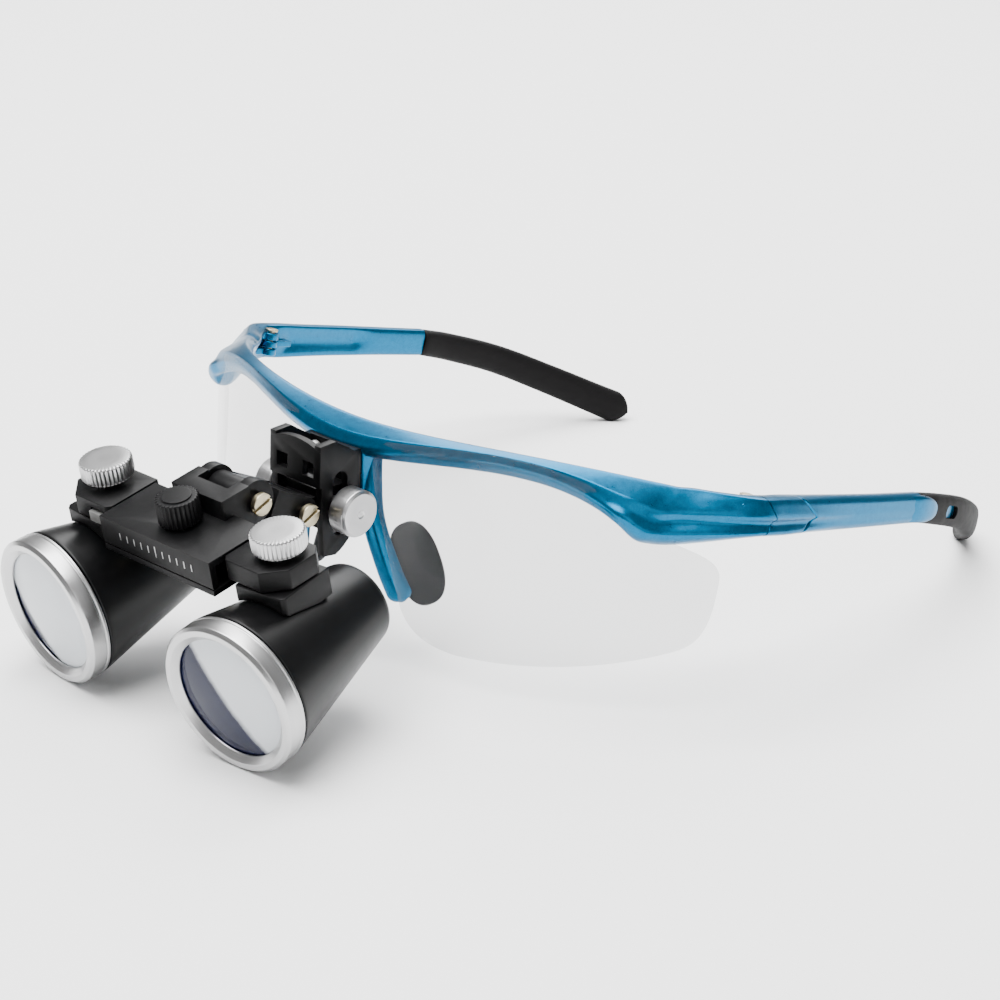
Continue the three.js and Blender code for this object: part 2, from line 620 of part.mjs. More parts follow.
// The left rack runs behind the pinion, the right one in front of it.
function rack(s) {
  const pitch = (2 * Math.PI * GEAR.pitch) / GEAR.teeth;
  const tooth = GEAR.pitch - 0.35;
  const root = GEAR.pitch + 0.75;
  const shape = new THREE.Shape();
  shape.moveTo(RACK.outer, RACK.back);
  shape.lineTo(RACK.inner, RACK.back);
  shape.lineTo(RACK.inner, root);
  const first = Math.ceil(RACK.inner / pitch);
  const phase = s > 0 ? phaseAt(90) : phaseAt(-90);
  for (let i = first; (i + 1) * pitch < 3.5; i += 1) {
    const middle = (i + 0.5 + phase) * pitch;
    [[-0.32, root], [-0.14, tooth], [0.14, tooth], [0.32, root]].forEach(([u, v]) => {
      shape.lineTo(middle + u * pitch, v);
    });
  }
  shape.lineTo(RACK.outer, root);
  shape.closePath();
  const bar = plateZ(shape, GEAR.low, GEAR.high);
  if (s < 0) bar.rotateZ(Math.PI);
  return bar.translate(0, KNOB.y, 0);
}

// Offset, in teeth, that puts a rack gap over the pinion tooth nearest to the given bearing.
function phaseAt(bearing) {
  const teeth = (bearing / 360) * GEAR.teeth;
  return teeth - Math.round(teeth);
}

// ---------------------------------------------------------------- carriages and thumbscrews

function carriage(s) {
  const { inner, outer, front, back, low, high } = CARRIAGE;
  const shape = outline([
    [inner, front + 1], [inner + 1, front], [outer - 4, front], [outer, front + 4],
    [outer, back - 2], [outer - 2, back], [inner, back],
  ]);
  const body = onSide(toGeometry(toSolid(plateZ(shape, low, high))), s);
  const reach = [s * (inner - 1), s * (RACK.outer + GAP)].sort((a, b) => a - b);
  const rackSide = [KNOB.y + s * (GEAR.pitch + 0.75), KNOB.y + s * RACK.back].sort((a, b) => a - b);
  const pocket = block(reach[0], reach[1], rackSide[0] - GAP, rackSide[1] + GAP, low - 1, GEAR.high + GAP);
  return cut(body, pocket, rodZ(THUMB.shank + GAP, s * THUMB.x, THUMB.y, low - 1, high + 1, 12));
}

function thumbscrew(s) {
  const { x, y, head, headLow, headHigh, shank, end } = THUMB;
  return join(
    rodZ(shank, s * x, y, end, headHigh - 1, 12),
    rodZ(2.3, s * x, y, CARRIAGE.high + GAP, headLow + 0.2, 16),
    rodZ(head, s * x, y, headLow, headHigh, 24),
  );
}

// ---------------------------------------------------------------- barrels, about their own axis

const HOUSING = [
  [12.0, 3.9], [13.1, 3.9], [13.1, 4.7], [15.0, 4.7], [8.5, 35.4], [8.1, 36.8], [7.4, 37.4],
  [7.0, 37.4], [7.0, 31.0], [11.9, 6.6], [12.0, 3.9],
];

function ringProfile() {
  const { radius, depth, aperture, seat } = RING;
  return [
    [aperture, 0.5], [aperture + 0.4, 0], [radius - 0.8, 0], [radius, 0.8], [radius, depth],
    [seat, depth], [seat, 1.5], [aperture, 1.5], [aperture, 0.5],
  ];
}

function lensProfile(radius, frontRise, backRise, start, edge) {
  const rows = [1, 0.7, 0.35, 0];
  const front = rows.map((k) => [k * radius, start - frontRise * (1 - k * k)]);
  const back = rows.map((k) => [k * radius, start + edge + backRise * (1 - k * k)]).reverse();
  return [...front.reverse(), ...back.reverse()];
}

const BARREL_PARTS = {
  barrel_housing: { profile: HOUSING, segments: 28, look: 'blackMetal' },
  front_ring: { profile: ringProfile(), segments: 28, look: 'satin' },
  objective_lens: { profile: lensProfile(13.1, 1.3, 1.2, 1.8, 1.8), segments: 20, look: 'coatedGlass' },
  light_stop: { profile: [[9.2, 9.2], [11.0, 9.2], [10.65, 11], [9.2, 11], [9.2, 9.2]], segments: 20,
    look: 'blackMetal' },
  eyepiece_lens: { profile: lensProfile(6.7, -0.5, -0.6, 31.8, 2.0), segments: 20, look: 'coatedGlass' },
  eyepiece_ring: { profile: [[5.4, 34.4], [6.7, 34.4], [6.7, 37.0], [6.1, 37.0], [5.4, 34.4]], segments: 20,
    look: 'blackMetal' },
};

// The shoe is a block whose underside is hollowed to the cone of the barrel.
function shoe() {
  const { half, front, back, low, high } = SHOE;
  const body = block(-half, half, front, back, low, high);
  const [, , , wide, narrow] = HOUSING;
  const cone = rod(wide[0] + GAP, vec(0, wide[1] + BARREL.front, BARREL.axis),
    vec(0, narrow[1] + BARREL.front, BARREL.axis), 36, narrow[0] + GAP);
  const chamfer = [[half - 1.8, front - 1], [half + 1, front - 1], [half + 1, front + 1.8]];
  return cut(body, cone, plateZ(outline(chamfer), low - 1, high + 1),
    rodZ(THUMB.shank + GAP, 0, 0, low - 4, high + 1, 12));
}

// ---------------------------------------------------------------- assembly

const loupes = new THREE.Group();
const face = new THREE.Group();
const specs = new THREE.Group();
const head = new THREE.Group();
specs.rotation.x = SPECS_PITCH;
head.rotation.x = HEAD_PITCH;
loupes.rotation.x = STAND_TILT;
loupes.add(face, specs, head);

function add(group, name, geometry, look) {
  const clean = toGeometry(toSolid(geometry));
  const mesh = new THREE.Mesh(clean, FINISH[look]());
  mesh.name = name;
  group.add(mesh);
  return mesh;
}

add(specs, 'brow_frame', browFrame(), 'bluePaint');
add(face, 'mount_bracket', mountBracket(), 'blackMetal');
add(face, 'height_slider', heightSlider(), 'blackMetal');
add(face, 'clamp_bolt', clampBolt(), 'satin');
add(face, 'flip_link', flipLink(), 'blackMetal');
add(face, 'link_pin_rear', linkPin(REAR_PIVOT), 'steel');
add(face, 'link_pin_front', linkPin(FRONT_PIVOT), 'steel');
add(face, 'link_nut_rear', linkNut(REAR_PIVOT), 'steel');
add(face, 'link_nut_front', linkNut(FRONT_PIVOT), 'steel');
add(head, 'bar_housing', barHousing(), 'blackMetal');
add(head, 'bar_cover', barCover(), 'blackMetal');
add(head, 'pd_knob', pdKnob(), 'blackMetal');
add(head, 'pd_pinion', pinion(), 'steel');

const oneLens = common(lensSlab(0, LENS.thick), plateY(lensOutline(0), -12, 45));
for (const { side, s } of SIDES) {
  add(specs, `lens_${side}`, onSide(oneLens, s), 'clearLens');
  add(specs, `nose_pad_${side}`, onSide(nosePad(), s), 'rubber');
  add(specs, `temple_${side}`, onSide(temple(), s), 'bluePaint');
  add(specs, `temple_sleeve_${side}`, onSide(sleeve(), s), 'rubber');
  add(specs, `hinge_screw_${side}`, hingeScrew(s), 'steel');
  add(face, `bracket_screw_${side}`, bracketScrew(s), 'steel');
  add(face, `clamp_knob_${side}`, clampKnob(s), 'satin');
  add(head, `bar_cover_screw_${side}`, coverScrew(s), 'steel');
  add(head, `rack_${side}`, rack(s), 'steel');
  add(head, `carriage_${side}`, carriage(s), 'blackMetal');
  add(head, `thumbscrew_${side}`, thumbscrew(s), 'satin');

  const swivel = new THREE.Group();
  swivel.position.set(s * THUMB.x, THUMB.y, 0);
  swivel.rotation.z = s * BARREL.toeOut;
  head.add(swivel);
  add(swivel, `barrel_shoe_${side}`, onSide(toGeometry(toSolid(shoe())), s), 'blackMetal');
  for (const [name, { profile, segments, look }] of Object.entries(BARREL_PARTS)) {
    const mesh = add(swivel, `${name}_${side}`, turned(profile, segments), look);
    mesh.position.set(0, BARREL.front, BARREL.axis);
  }
}

// The footprint's centre is the origin, and the lowest points touch z = 0.
loupes.updateMatrixWorld(true);
const bounds = new THREE.Box3().setFromObject(loupes, true);
loupes.position.set(0, -(bounds.min.y + bounds.max.y) / 2, -bounds.min.z);

export default loupes;
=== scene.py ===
"""Finished surfaces of a pair of dental loupes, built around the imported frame.

Lengths in the classes are millimetres in the local frame of each sub-assembly. Datum.place
turns them into metres in the shared frame, where +X is the wearer's left, +Y runs back to the
temple tips and +Z is up.
"""

import json
import logging
import math
from collections.abc import Sequence
from dataclasses import dataclass, field, replace
from enum import Enum

import bmesh
import bpy
import numpy as np
from mathutils import Matrix, Quaternion, Vector

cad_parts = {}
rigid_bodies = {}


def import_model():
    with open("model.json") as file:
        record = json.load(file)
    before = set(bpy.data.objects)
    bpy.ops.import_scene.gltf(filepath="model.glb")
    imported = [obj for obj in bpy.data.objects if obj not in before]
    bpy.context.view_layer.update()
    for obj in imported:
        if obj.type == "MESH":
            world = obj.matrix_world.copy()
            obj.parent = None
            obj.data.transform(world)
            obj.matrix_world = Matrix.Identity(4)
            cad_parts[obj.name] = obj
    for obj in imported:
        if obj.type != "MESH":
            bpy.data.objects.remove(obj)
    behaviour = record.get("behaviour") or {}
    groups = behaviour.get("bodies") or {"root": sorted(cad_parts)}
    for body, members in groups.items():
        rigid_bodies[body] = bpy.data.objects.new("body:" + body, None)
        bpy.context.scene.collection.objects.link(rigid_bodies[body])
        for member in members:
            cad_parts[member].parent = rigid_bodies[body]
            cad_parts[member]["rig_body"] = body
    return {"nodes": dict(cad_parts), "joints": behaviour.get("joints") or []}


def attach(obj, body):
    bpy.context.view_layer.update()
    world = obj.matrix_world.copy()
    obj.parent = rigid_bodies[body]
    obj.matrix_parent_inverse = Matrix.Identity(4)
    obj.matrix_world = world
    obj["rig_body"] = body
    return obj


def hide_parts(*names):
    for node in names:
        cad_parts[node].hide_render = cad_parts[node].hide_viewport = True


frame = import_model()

Array = np.ndarray
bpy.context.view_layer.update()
MM = 0.001
MERGE = 1.5e-6
LOG = logging.getLogger("loupes")


class Side(Enum):
    """The wearer's left or right, with the sign of its X coordinates."""

    LEFT = 1
    RIGHT = -1

    @property
    def suffix(self) -> str:
        """The ending of this side's node names."""
        return self.name.lower()


# ---------------------------------------------------------------- frames of reference


def turn_x(degrees: float) -> Array:
    """Rotation matrix about X.

    Args:
        degrees: angle, positive from +Y towards +Z.

    Returns:
        A 3 by 3 matrix.
    """
    c, s = math.cos(math.radians(degrees)), math.sin(math.radians(degrees))
    return np.array([[1, 0, 0], [0, c, -s], [0, s, c]])


def turn_z(degrees: float) -> Array:
    """Rotation matrix about Z.

    Args:
        degrees: angle, positive from +X towards +Y.

    Returns:
        A 3 by 3 matrix.
    """
    c, s = math.cos(math.radians(degrees)), math.sin(math.radians(degrees))
    return np.array([[c, -s, 0], [s, c, 0], [0, 0, 1]])


@dataclass(frozen=True)
class Datum:
    """A local frame: millimetres in, metres in the shared frame out."""

    turn: Array
    origin: Array

    def place(self, points: Array) -> Array:
        """Local points, as the last axis of any array, in the shared frame.

        Args:
            points: millimetres, shape (..., 3).

        Returns:
            Metres, with the same shape.
        """
        return np.asarray(points, float) @ self.turn.T * MM + self.origin

    def child(self, at: Sequence[float], turn: Array | None = None) -> "Datum":
        """A frame placed in this one.

        Args:
            at: its origin in this frame, in millimetres.
            turn: its rotation in this frame, or none.

        Returns:
            The new frame.
        """
        turn = np.eye(3) if turn is None else turn
        return Datum(self.turn @ turn, self.place(np.array(at, float)))


STAND_TILT = 0.47
SPECS_TILT = -13.1 + STAND_TILT
HEAD_TILT = 12.4 + STAND_TILT
HINGE = (66.5, 36.0, 0.0)


def joint_place(name: str) -> Array:
    """Where the frame puts a joint, in metres."""
    return np.array(next(j["pos_m"] for j in frame["joints"] if j["name"] == name), float)


ORIGIN = joint_place("temple_left_fold") - turn_x(SPECS_TILT) @ np.array(HINGE) * MM
FACE = Datum(turn_x(STAND_TILT), ORIGIN)
SPECS = Datum(turn_x(SPECS_TILT), ORIGIN)
HEAD = Datum(turn_x(HEAD_TILT), ORIGIN)
ALONG_X = np.array([[0, 0, 1], [1, 0, 0], [0, 1, 0]], float)
ALONG_FRONT = np.array([[1, 0, 0], [0, 0, -1], [0, 1, 0]], float)
ALONG_Y = np.array([[1, 0, 0], [0, 0, 1], [0, -1, 0]], float)


# ---------------------------------------------------------------- surfaces


def unit(vectors: Array) -> Array:
    """Vectors scaled to length one along the last axis."""
    return vectors / np.maximum(np.linalg.norm(vectors, axis=-1, keepdims=True), 1e-9)


def signed_power(values: Array, power: float) -> Array:
    """The sign of each value times its size raised to a power."""
    return np.sign(values) * np.abs(values) ** power


def smooth(value: Array, low: float, high: float) -> Array:
    """An S-shaped ramp: 0 below low, 1 above high, 3t^2 - 2t^3 between.

    Args:
        value: where to read the ramp.
        low: start of the ramp.
        high: end of the ramp.

    Returns:
        The ramp's height, with the shape of value.
    """
    t = np.clip((np.asarray(value, float) - low) / (high - low), 0, 1)
    return t * t * (3 - 2 * t)


def spline(knots: Array, at: Array) -> Array:
    """Catmull-Rom curve through knots, where knot i lies at parameter i.

    Each stretch is the cubic whose slope at a knot is half the step between its neighbours.
    Past the ends the knots are carried on straight.

    Args:
        knots: shape (n, k).
        at: parameters from 0 to n - 1, any shape.

    Returns:
        Points, shape at.shape + (k,).
    """
    knots = np.asarray(knots, float)
    at = np.asarray(at, float)
    padded = np.vstack([2 * knots[0] - knots[1], knots, 2 * knots[-1] - knots[-2]])
    i = np.clip(np.floor(at).astype(int), 0, len(knots) - 2)
    t = (at - i)[..., None]
    a, b, c, d = (padded[i + k] for k in range(4))
    return b + 0.5 * t * (c - a + t * (2 * a - 5 * b + 4 * c - d + t * (3 * (b - c) + d - a)))


def loop_spline(knots: Array, per_knot: int) -> Array:
    """Weights that turn closed knots into points of a closed Catmull-Rom curve.

    Args:
        knots: how the curve is cut, only its length counts.
        per_knot: points on each stretch.

    Returns:
        A matrix of shape (n * per_knot, n), to be multiplied with the knots.
    """
    n = len(knots)
    eye = np.eye(n)
    wrapped = np.vstack([eye[-2:], eye, eye[:3]])
    at = np.arange(n * per_knot) / per_knot + 2
    return spline(wrapped, at)


def rounded(points: Sequence[Sequence[float]], radius: float, steps: int = 4,
            closed: bool = False) -> Array:
    """An outline whose corners are replaced by short parabolic arcs.

    Each arc runs (1-t)^2 a + 2t(1-t) corner + t^2 b between a point before and one after it.

    Args:
        points: the corners, as (u, v).
        radius: distance from a corner to the ends of its arc, cut to 0.45 of the shorter side.
        steps: stretches in each arc.
        closed: whether the last corner joins the first.

    Returns:
        Points of the rounded outline, shape (m, 2).
    """
    p = np.asarray(points, float)
    before, after = np.roll(p, 1, 0) - p, np.roll(p, -1, 0) - p
    lengths = np.minimum(np.linalg.norm(before, axis=1), np.linalg.norm(after, axis=1))
    reach = np.minimum(radius, 0.45 * lengths)[:, None]
    if not closed:
        reach[0] = reach[-1] = 0
    a, b = p + unit(before) * reach, p + unit(after) * reach
    t = np.linspace(0, 1, steps + 1)[None, :, None]
    arcs = (1 - t) ** 2 * a[:, None] + 2 * t * (1 - t) * p[:, None] + t ** 2 * b[:, None]
    if closed:
        return arcs.reshape(-1, 2)
    return np.vstack([p[:1], arcs[1:-1].reshape(-1, 2), p[-1:]])


def inset(outline: Array, amount: float) -> Array:
    """A closed counter-clockwise outline moved inwards along the mean of its side normals.

    Args:
        outline: shape (n, 2).
        amount: distance inwards.

    Returns:
        The smaller outline, point for point.
    """
    side = np.roll(outline, -1, 0) - outline
    normal = unit(np.stack([-side[:, 1], side[:, 0]], 1))
    mean = normal + np.roll(normal, 1, 0)
    mean /= np.maximum(np.sum(mean * mean, axis=1, keepdims=True) / 2, 1e-6)
    return outline + mean * amount


@dataclass
class Shape:
    """Closed skins, in a local frame, that become one object."""

    datum: Datum
    points: list[Array] = field(default_factory=list)
    faces: list[Array] = field(default_factory=list)
    count: int = 0

    def skin(self, grid: Array, capped: bool = True) -> "Shape":
        """Adds a grid of points whose columns close on themselves.

        With caps, each end row is drawn together at its middle; without, the last row joins
        the first, as on a ring.

        Args:
            grid: shape (rows, columns, 3), in millimetres.
            capped: whether the ends are closed.

        Returns:
            This shape.
        """
        grid = np.asarray(grid, float)
        if capped:
            ends = [np.broadcast_to(row.mean(0), row.shape)[None] for row in (grid[0], grid[-1])]
            grid = np.concatenate([ends[0], grid, ends[1]])
        else:
            grid = np.concatenate([grid, grid[:1]])
        rows, columns = grid.shape[:2]
        index = np.arange(rows * columns).reshape(rows, columns) + self.count
        right = np.roll(index, -1, 1)
        quads = np.stack([index[:-1], right[:-1], right[1:], index[1:]], -1).reshape(-1, 4)
        self.points.append(grid.reshape(-1, 3))
        self.faces.append(quads)
        self.count += rows * columns
        return self

    def turned(self, profile: Array, segments: int = 96, wave: Array | None = None,
               at: Sequence[float] = (0, 0, 0), turn: Array | None = None) -> "Shape":
        """Adds a profile turned about local Z: (r cos a, r sin a, z).

        Args:
            profile: (radius, height) rows. One that starts and ends on the axis is capped there.
            segments: steps round.
            wave: optional share by which each step's radius shrinks, shape (rows, segments).
            at: where the axis starts.
            turn: how the axis is turned.

        Returns:
            This shape.
        """
        profile = np.asarray(profile, float)
        angle = np.linspace(0, 2 * np.pi, segments, endpoint=False)
        radius = profile[:, :1] * (1 if wave is None else 1 - wave)
        height = np.broadcast_to(profile[:, 1:], (len(profile), segments))
        grid = np.stack([radius * np.cos(angle), radius * np.sin(angle), height], -1)
        turn = np.eye(3) if turn is None else turn
        on_axis = profile[0, 0] < 1e-6 and profile[-1, 0] < 1e-6
        return self.skin(grid @ turn.T + np.array(at, float), on_axis)

    def prism(self, outline: Array, low: float, high: float, edge: float,
              axes: Array | None = None) -> "Shape":
        """Adds an outline carried from low to high, with both rims rounded by a quarter circle.

        Args:
            outline: closed, counter-clockwise, shape (n, 2).
            low: local Z of one end.
            high: local Z of the other.
            edge: radius of the rims.
            axes: how local X, Y and Z are turned.

        Returns:
            This shape.
        """
        bend = np.linspace(0, np.pi / 2, 5)
        rows = [(edge * (1 - math.sin(a)), low + edge * (1 - math.cos(a))) for a in bend]
        rows += [(d, low + high - z) for d, z in reversed(rows)]
        grid = np.stack([
            np.column_stack([inset(outline, d), np.full(len(outline), z)]) for d, z in rows])
        axes = np.eye(3) if axes is None else axes
        return self.skin(grid @ axes.T)

    def block(self, low: Sequence[float], high: Sequence[float], edge: float = 0.4) -> "Shape":
        """Adds a box with rounded edges, given by two opposite corners.

        Args:
            low: the lowest corner.
            high: the highest corner.
            edge: radius of the edges.

        Returns:
            This shape.
        """
        (x0, y0, z0), (x1, y1, z1) = low, high
        outline = rounded([(x0, y0), (x1, y0), (x1, y1), (x0, y1)], edge, closed=True)
        return self.prism(outline, z0, z1, edge)

    def mesh(self, name: str, sharp: float = 35) -> bpy.types.Mesh:
        """The skins as one mesh in the shared frame, welded and facing outwards.

        Args:
            name: the mesh's name.
            sharp: angle in degrees past which an edge is left hard.

        Returns:
            The mesh.
        """
        data = bpy.data.meshes.new(name)
        data.from_pydata(self.datum.place(np.vstack(self.points)).tolist(), [],
                         np.vstack(self.faces).tolist())
        return welded(data, sharp)


def welded(data: bpy.types.Mesh, sharp: float, bevel: float = 0) -> bpy.types.Mesh:
    """Merges a mesh's doubles, turns its faces outwards and softens its edges.

    Args:
        data: the mesh, changed in place.
        sharp: angle in degrees past which an edge is left hard.
        bevel: width in metres cut off every edge over 32 degrees, or 0.

    Returns:
        The same mesh.
    """
    work = bmesh.new()
    work.from_mesh(data)
    bmesh.ops.remove_doubles(work, verts=work.verts, dist=MERGE)
    bmesh.ops.dissolve_degenerate(work, edges=work.edges, dist=MERGE)
    if bevel:
        bmesh.ops.dissolve_limit(work, angle_limit=math.radians(1), verts=work.verts,
                                 edges=work.edges)
        edges = [e for e in work.edges if e.is_manifold and e.calc_face_angle() > math.radians(32)]
        bmesh.ops.bevel(work, geom=edges, offset=bevel, offset_type="OFFSET", segments=2,
                        profile=0.6, affect="EDGES", clamp_overlap=True)
        bmesh.ops.remove_doubles(work, verts=work.verts, dist=MERGE)
    bmesh.ops.recalc_face_normals(work, faces=work.faces)
    work.to_mesh(data)
    work.free()
    data.shade_smooth()
    data.set_sharp_from_angle(angle=math.radians(sharp))
    return data


def mirrored(grid: Array) -> Array:
    """A grid reflected in the plane x = 0."""
    return np.asarray(grid, float) * np.array([-1, 1, 1])


def handed(grid: Array, side: Side) -> Array:
    """A grid made for the left side, put on the given side."""
    return grid if side is Side.LEFT else mirrored(grid)


def turn_y(degrees: float) -> Array:
    """Rotation matrix about Y, positive from +Z towards +X."""
    c, s = math.cos(math.radians(degrees)), math.sin(math.radians(degrees))
    return np.array([[c, 0, s], [0, 1, 0], [-s, 0, c]])


def route(knots: Array, at: Array) -> tuple[Array, Array]:
    """Points and unit tangents of a Catmull-Rom curve.

    Args:
        knots: shape (n, 3).
        at: parameters from 0 to n - 1.

    Returns:
        Points and tangents, each with shape at.shape + (3,).
    """
    step = 0.02
    last = len(knots) - 1
    along = spline(knots, np.clip(at + step, 0, last)) - spline(knots, np.clip(at - step, 0, last))
    return spline(knots, at), along / np.linalg.norm(along, axis=-1, keepdims=True)


def section_sweep(middle: Array, first: Array, second: Array, half_first: Array,
                  half_second: Array, power: float, columns: int) -> Array:
    """Carries a superellipse |u|^p + |v|^p = 1 along a line.

    Args:
        middle: the line, shape (rows, 3).
        first: unit direction of the first half-width, shape (rows, 3).
        second: unit direction of the other.
        half_first: half-width at each row.
        half_second: the other half-width.
        power: p; 2 is an ellipse, more is squarer, less is more like a rhombus.
        columns: points round the section.

    Returns:
        Points, shape (rows, columns, 3).
    """
    angle = np.linspace(0, 2 * np.pi, columns, endpoint=False)
    u, v = signed_power(np.cos(angle), 2 / power), signed_power(np.sin(angle), 2 / power)
    a = first[:, None] * (np.broadcast_to(half_first, len(middle))[:, None] * u)[..., None]
    b = second[:, None] * (np.broadcast_to(half_second, len(middle))[:, None] * v)[..., None]
    return middle[:, None] + a + b


def bezier(start: Sequence[float], one: Sequence[float], two: Sequence[float],
           end: Sequence[float]) -> Array:
    """Twelve stretches of the cubic Bezier curve with these four control points.

    Args:
        start: the first point.
        one: its handle.
        two: the last point's handle.
        end: the last point.

    Returns:
        Thirteen points, one to a row.
    """
    t = np.linspace(0, 1, 13)[:, None]
    a, b, c, d = (np.array(p, float) for p in (start, one, two, end))
    return (1 - t) ** 3 * a + 3 * t * (1 - t) ** 2 * b + 3 * t ** 2 * (1 - t) * c + t ** 3 * d


def resampled(line: Array, count: int) -> Array:
    """A closed line cut into equal steps and eased once at its corners.

    Args:
        line: shape (n, 2).
        count: points wanted.

    Returns:
        Points, shape (count, 2).
    """
    loop = np.vstack([line, line[:1]])
    far = np.concatenate([[0], np.cumsum(np.linalg.norm(np.diff(loop, axis=0), axis=1))])
    at = np.linspace(0, far[-1], count, endpoint=False)
    even = np.column_stack([np.interp(at, far, loop[:, k]) for k in range(2)])
    for _ in range(3):
        even = (np.roll(even, 1, 0) + 2 * even + np.roll(even, -1, 0)) / 4
    return even


def half_round(radius: float, half_slot: float, sign: int) -> Array:
    """The part of a disc on one side of a slot, as a closed counter-clockwise outline.

    Args:
        radius: the disc's radius.
        half_slot: half the slot's width.
        sign: 1 for the part with positive Y, -1 for the other.

    Returns:
        Points, shape (n, 2).
    """
    edge = math.asin(half_slot / radius)
    angle = np.linspace(edge, math.pi - edge, 28)
    arc = np.column_stack([radius * np.cos(angle), radius * np.sin(angle)])
    return arc * sign


def slotted_head(shape: Shape, radius: float, low: float, high: float, half_slot: float) -> None:
    """Adds a screw head: a disc, and two half rounds on it with a slot between.

    Args:
        shape: the screw, about local Z.
        radius: the head's radius.
        low: where the head starts.
        high: its top.
        half_slot: half the slot's width.
    """
    floor = low + 0.5 * (high - low)
    disc = [(0, low), (radius - 0.1, low), (radius, low + 0.1), (radius, floor), (0, floor)]
    shape.turned(disc, 56)
    for sign in (1, -1):
        shape.prism(half_round(radius, half_slot, sign), floor - 0.05, high, 0.12)


# ---------------------------------------------------------------- finishes


class Pattern(Enum):
    """How a finish varies over a piece."""

    CLOUD = "soft blotches"
    FLAKE = "fine metallic flakes"
    TURNED = "rings left by a lathe"
    GRAIN = "moulded or blasted grain"
    # A painted reflection: a pale diagonal step of colour over one side of the dark lens stands in for a bright
    # surround reflected in the glass.
    BLOOM = "a coating's pale bloom over one side of a dark lens"


class Graph:
    """A material's nodes, added and wired one by one."""

    def __init__(self, name: str) -> None:
        """Starts an empty material with an output and a shader.

        Args:
            name: the material's name.
        """
        self.material = bpy.data.materials.new(name)
        self.material.use_nodes = True
        self.tree = self.material.node_tree
        self.shader = self.tree.nodes["Principled BSDF"]

    def add(self, kind: str, **inputs: object) -> bpy.types.Node:
        """Adds a node.

        Args:
            kind: the part of its type name after ShaderNode.
            inputs: input names, with _ for a space, and either a value or a socket to wire in.

        Returns:
            The node.
        """
        node = self.tree.nodes.new("ShaderNode" + kind)
        self.feed(node, **inputs)
        return node

    def feed(self, node: bpy.types.Node, **inputs: object) -> None:
        """Sets or wires inputs of a node; names are as in add.

        Args:
            node: the node.
            inputs: names and values, as in add.
        """
        for name, value in inputs.items():
            socket = node.inputs[name.replace("_", " ")]
            if isinstance(value, bpy.types.NodeSocket):
                self.tree.links.new(value, socket)
            else:
                socket.default_value = value

    def ramp(self, source: bpy.types.NodeSocket, low: float, high: float) -> bpy.types.NodeSocket:
        """Maps a 0 to 1 source onto low to high."""
        node = self.add("MapRange", Value=source, To_Min=low, To_Max=high)
        return node.outputs["Result"]

    def mix(self, share: bpy.types.NodeSocket, first: Sequence[float],
            second: Sequence[float]) -> bpy.types.NodeSocket:
        """Mixes two colours by a 0 to 1 share.

        Args:
            share: 0 for the first colour, 1 for the second.
            first: linear red, green and blue.
            second: the same.

        Returns:
            A colour socket.
        """
        node = self.add("ValToRGB", Fac=share)
        node.color_ramp.elements[0].color = (*first, 1)
        node.color_ramp.elements[1].color = (*second, 1)
        return node.outputs["Color"]


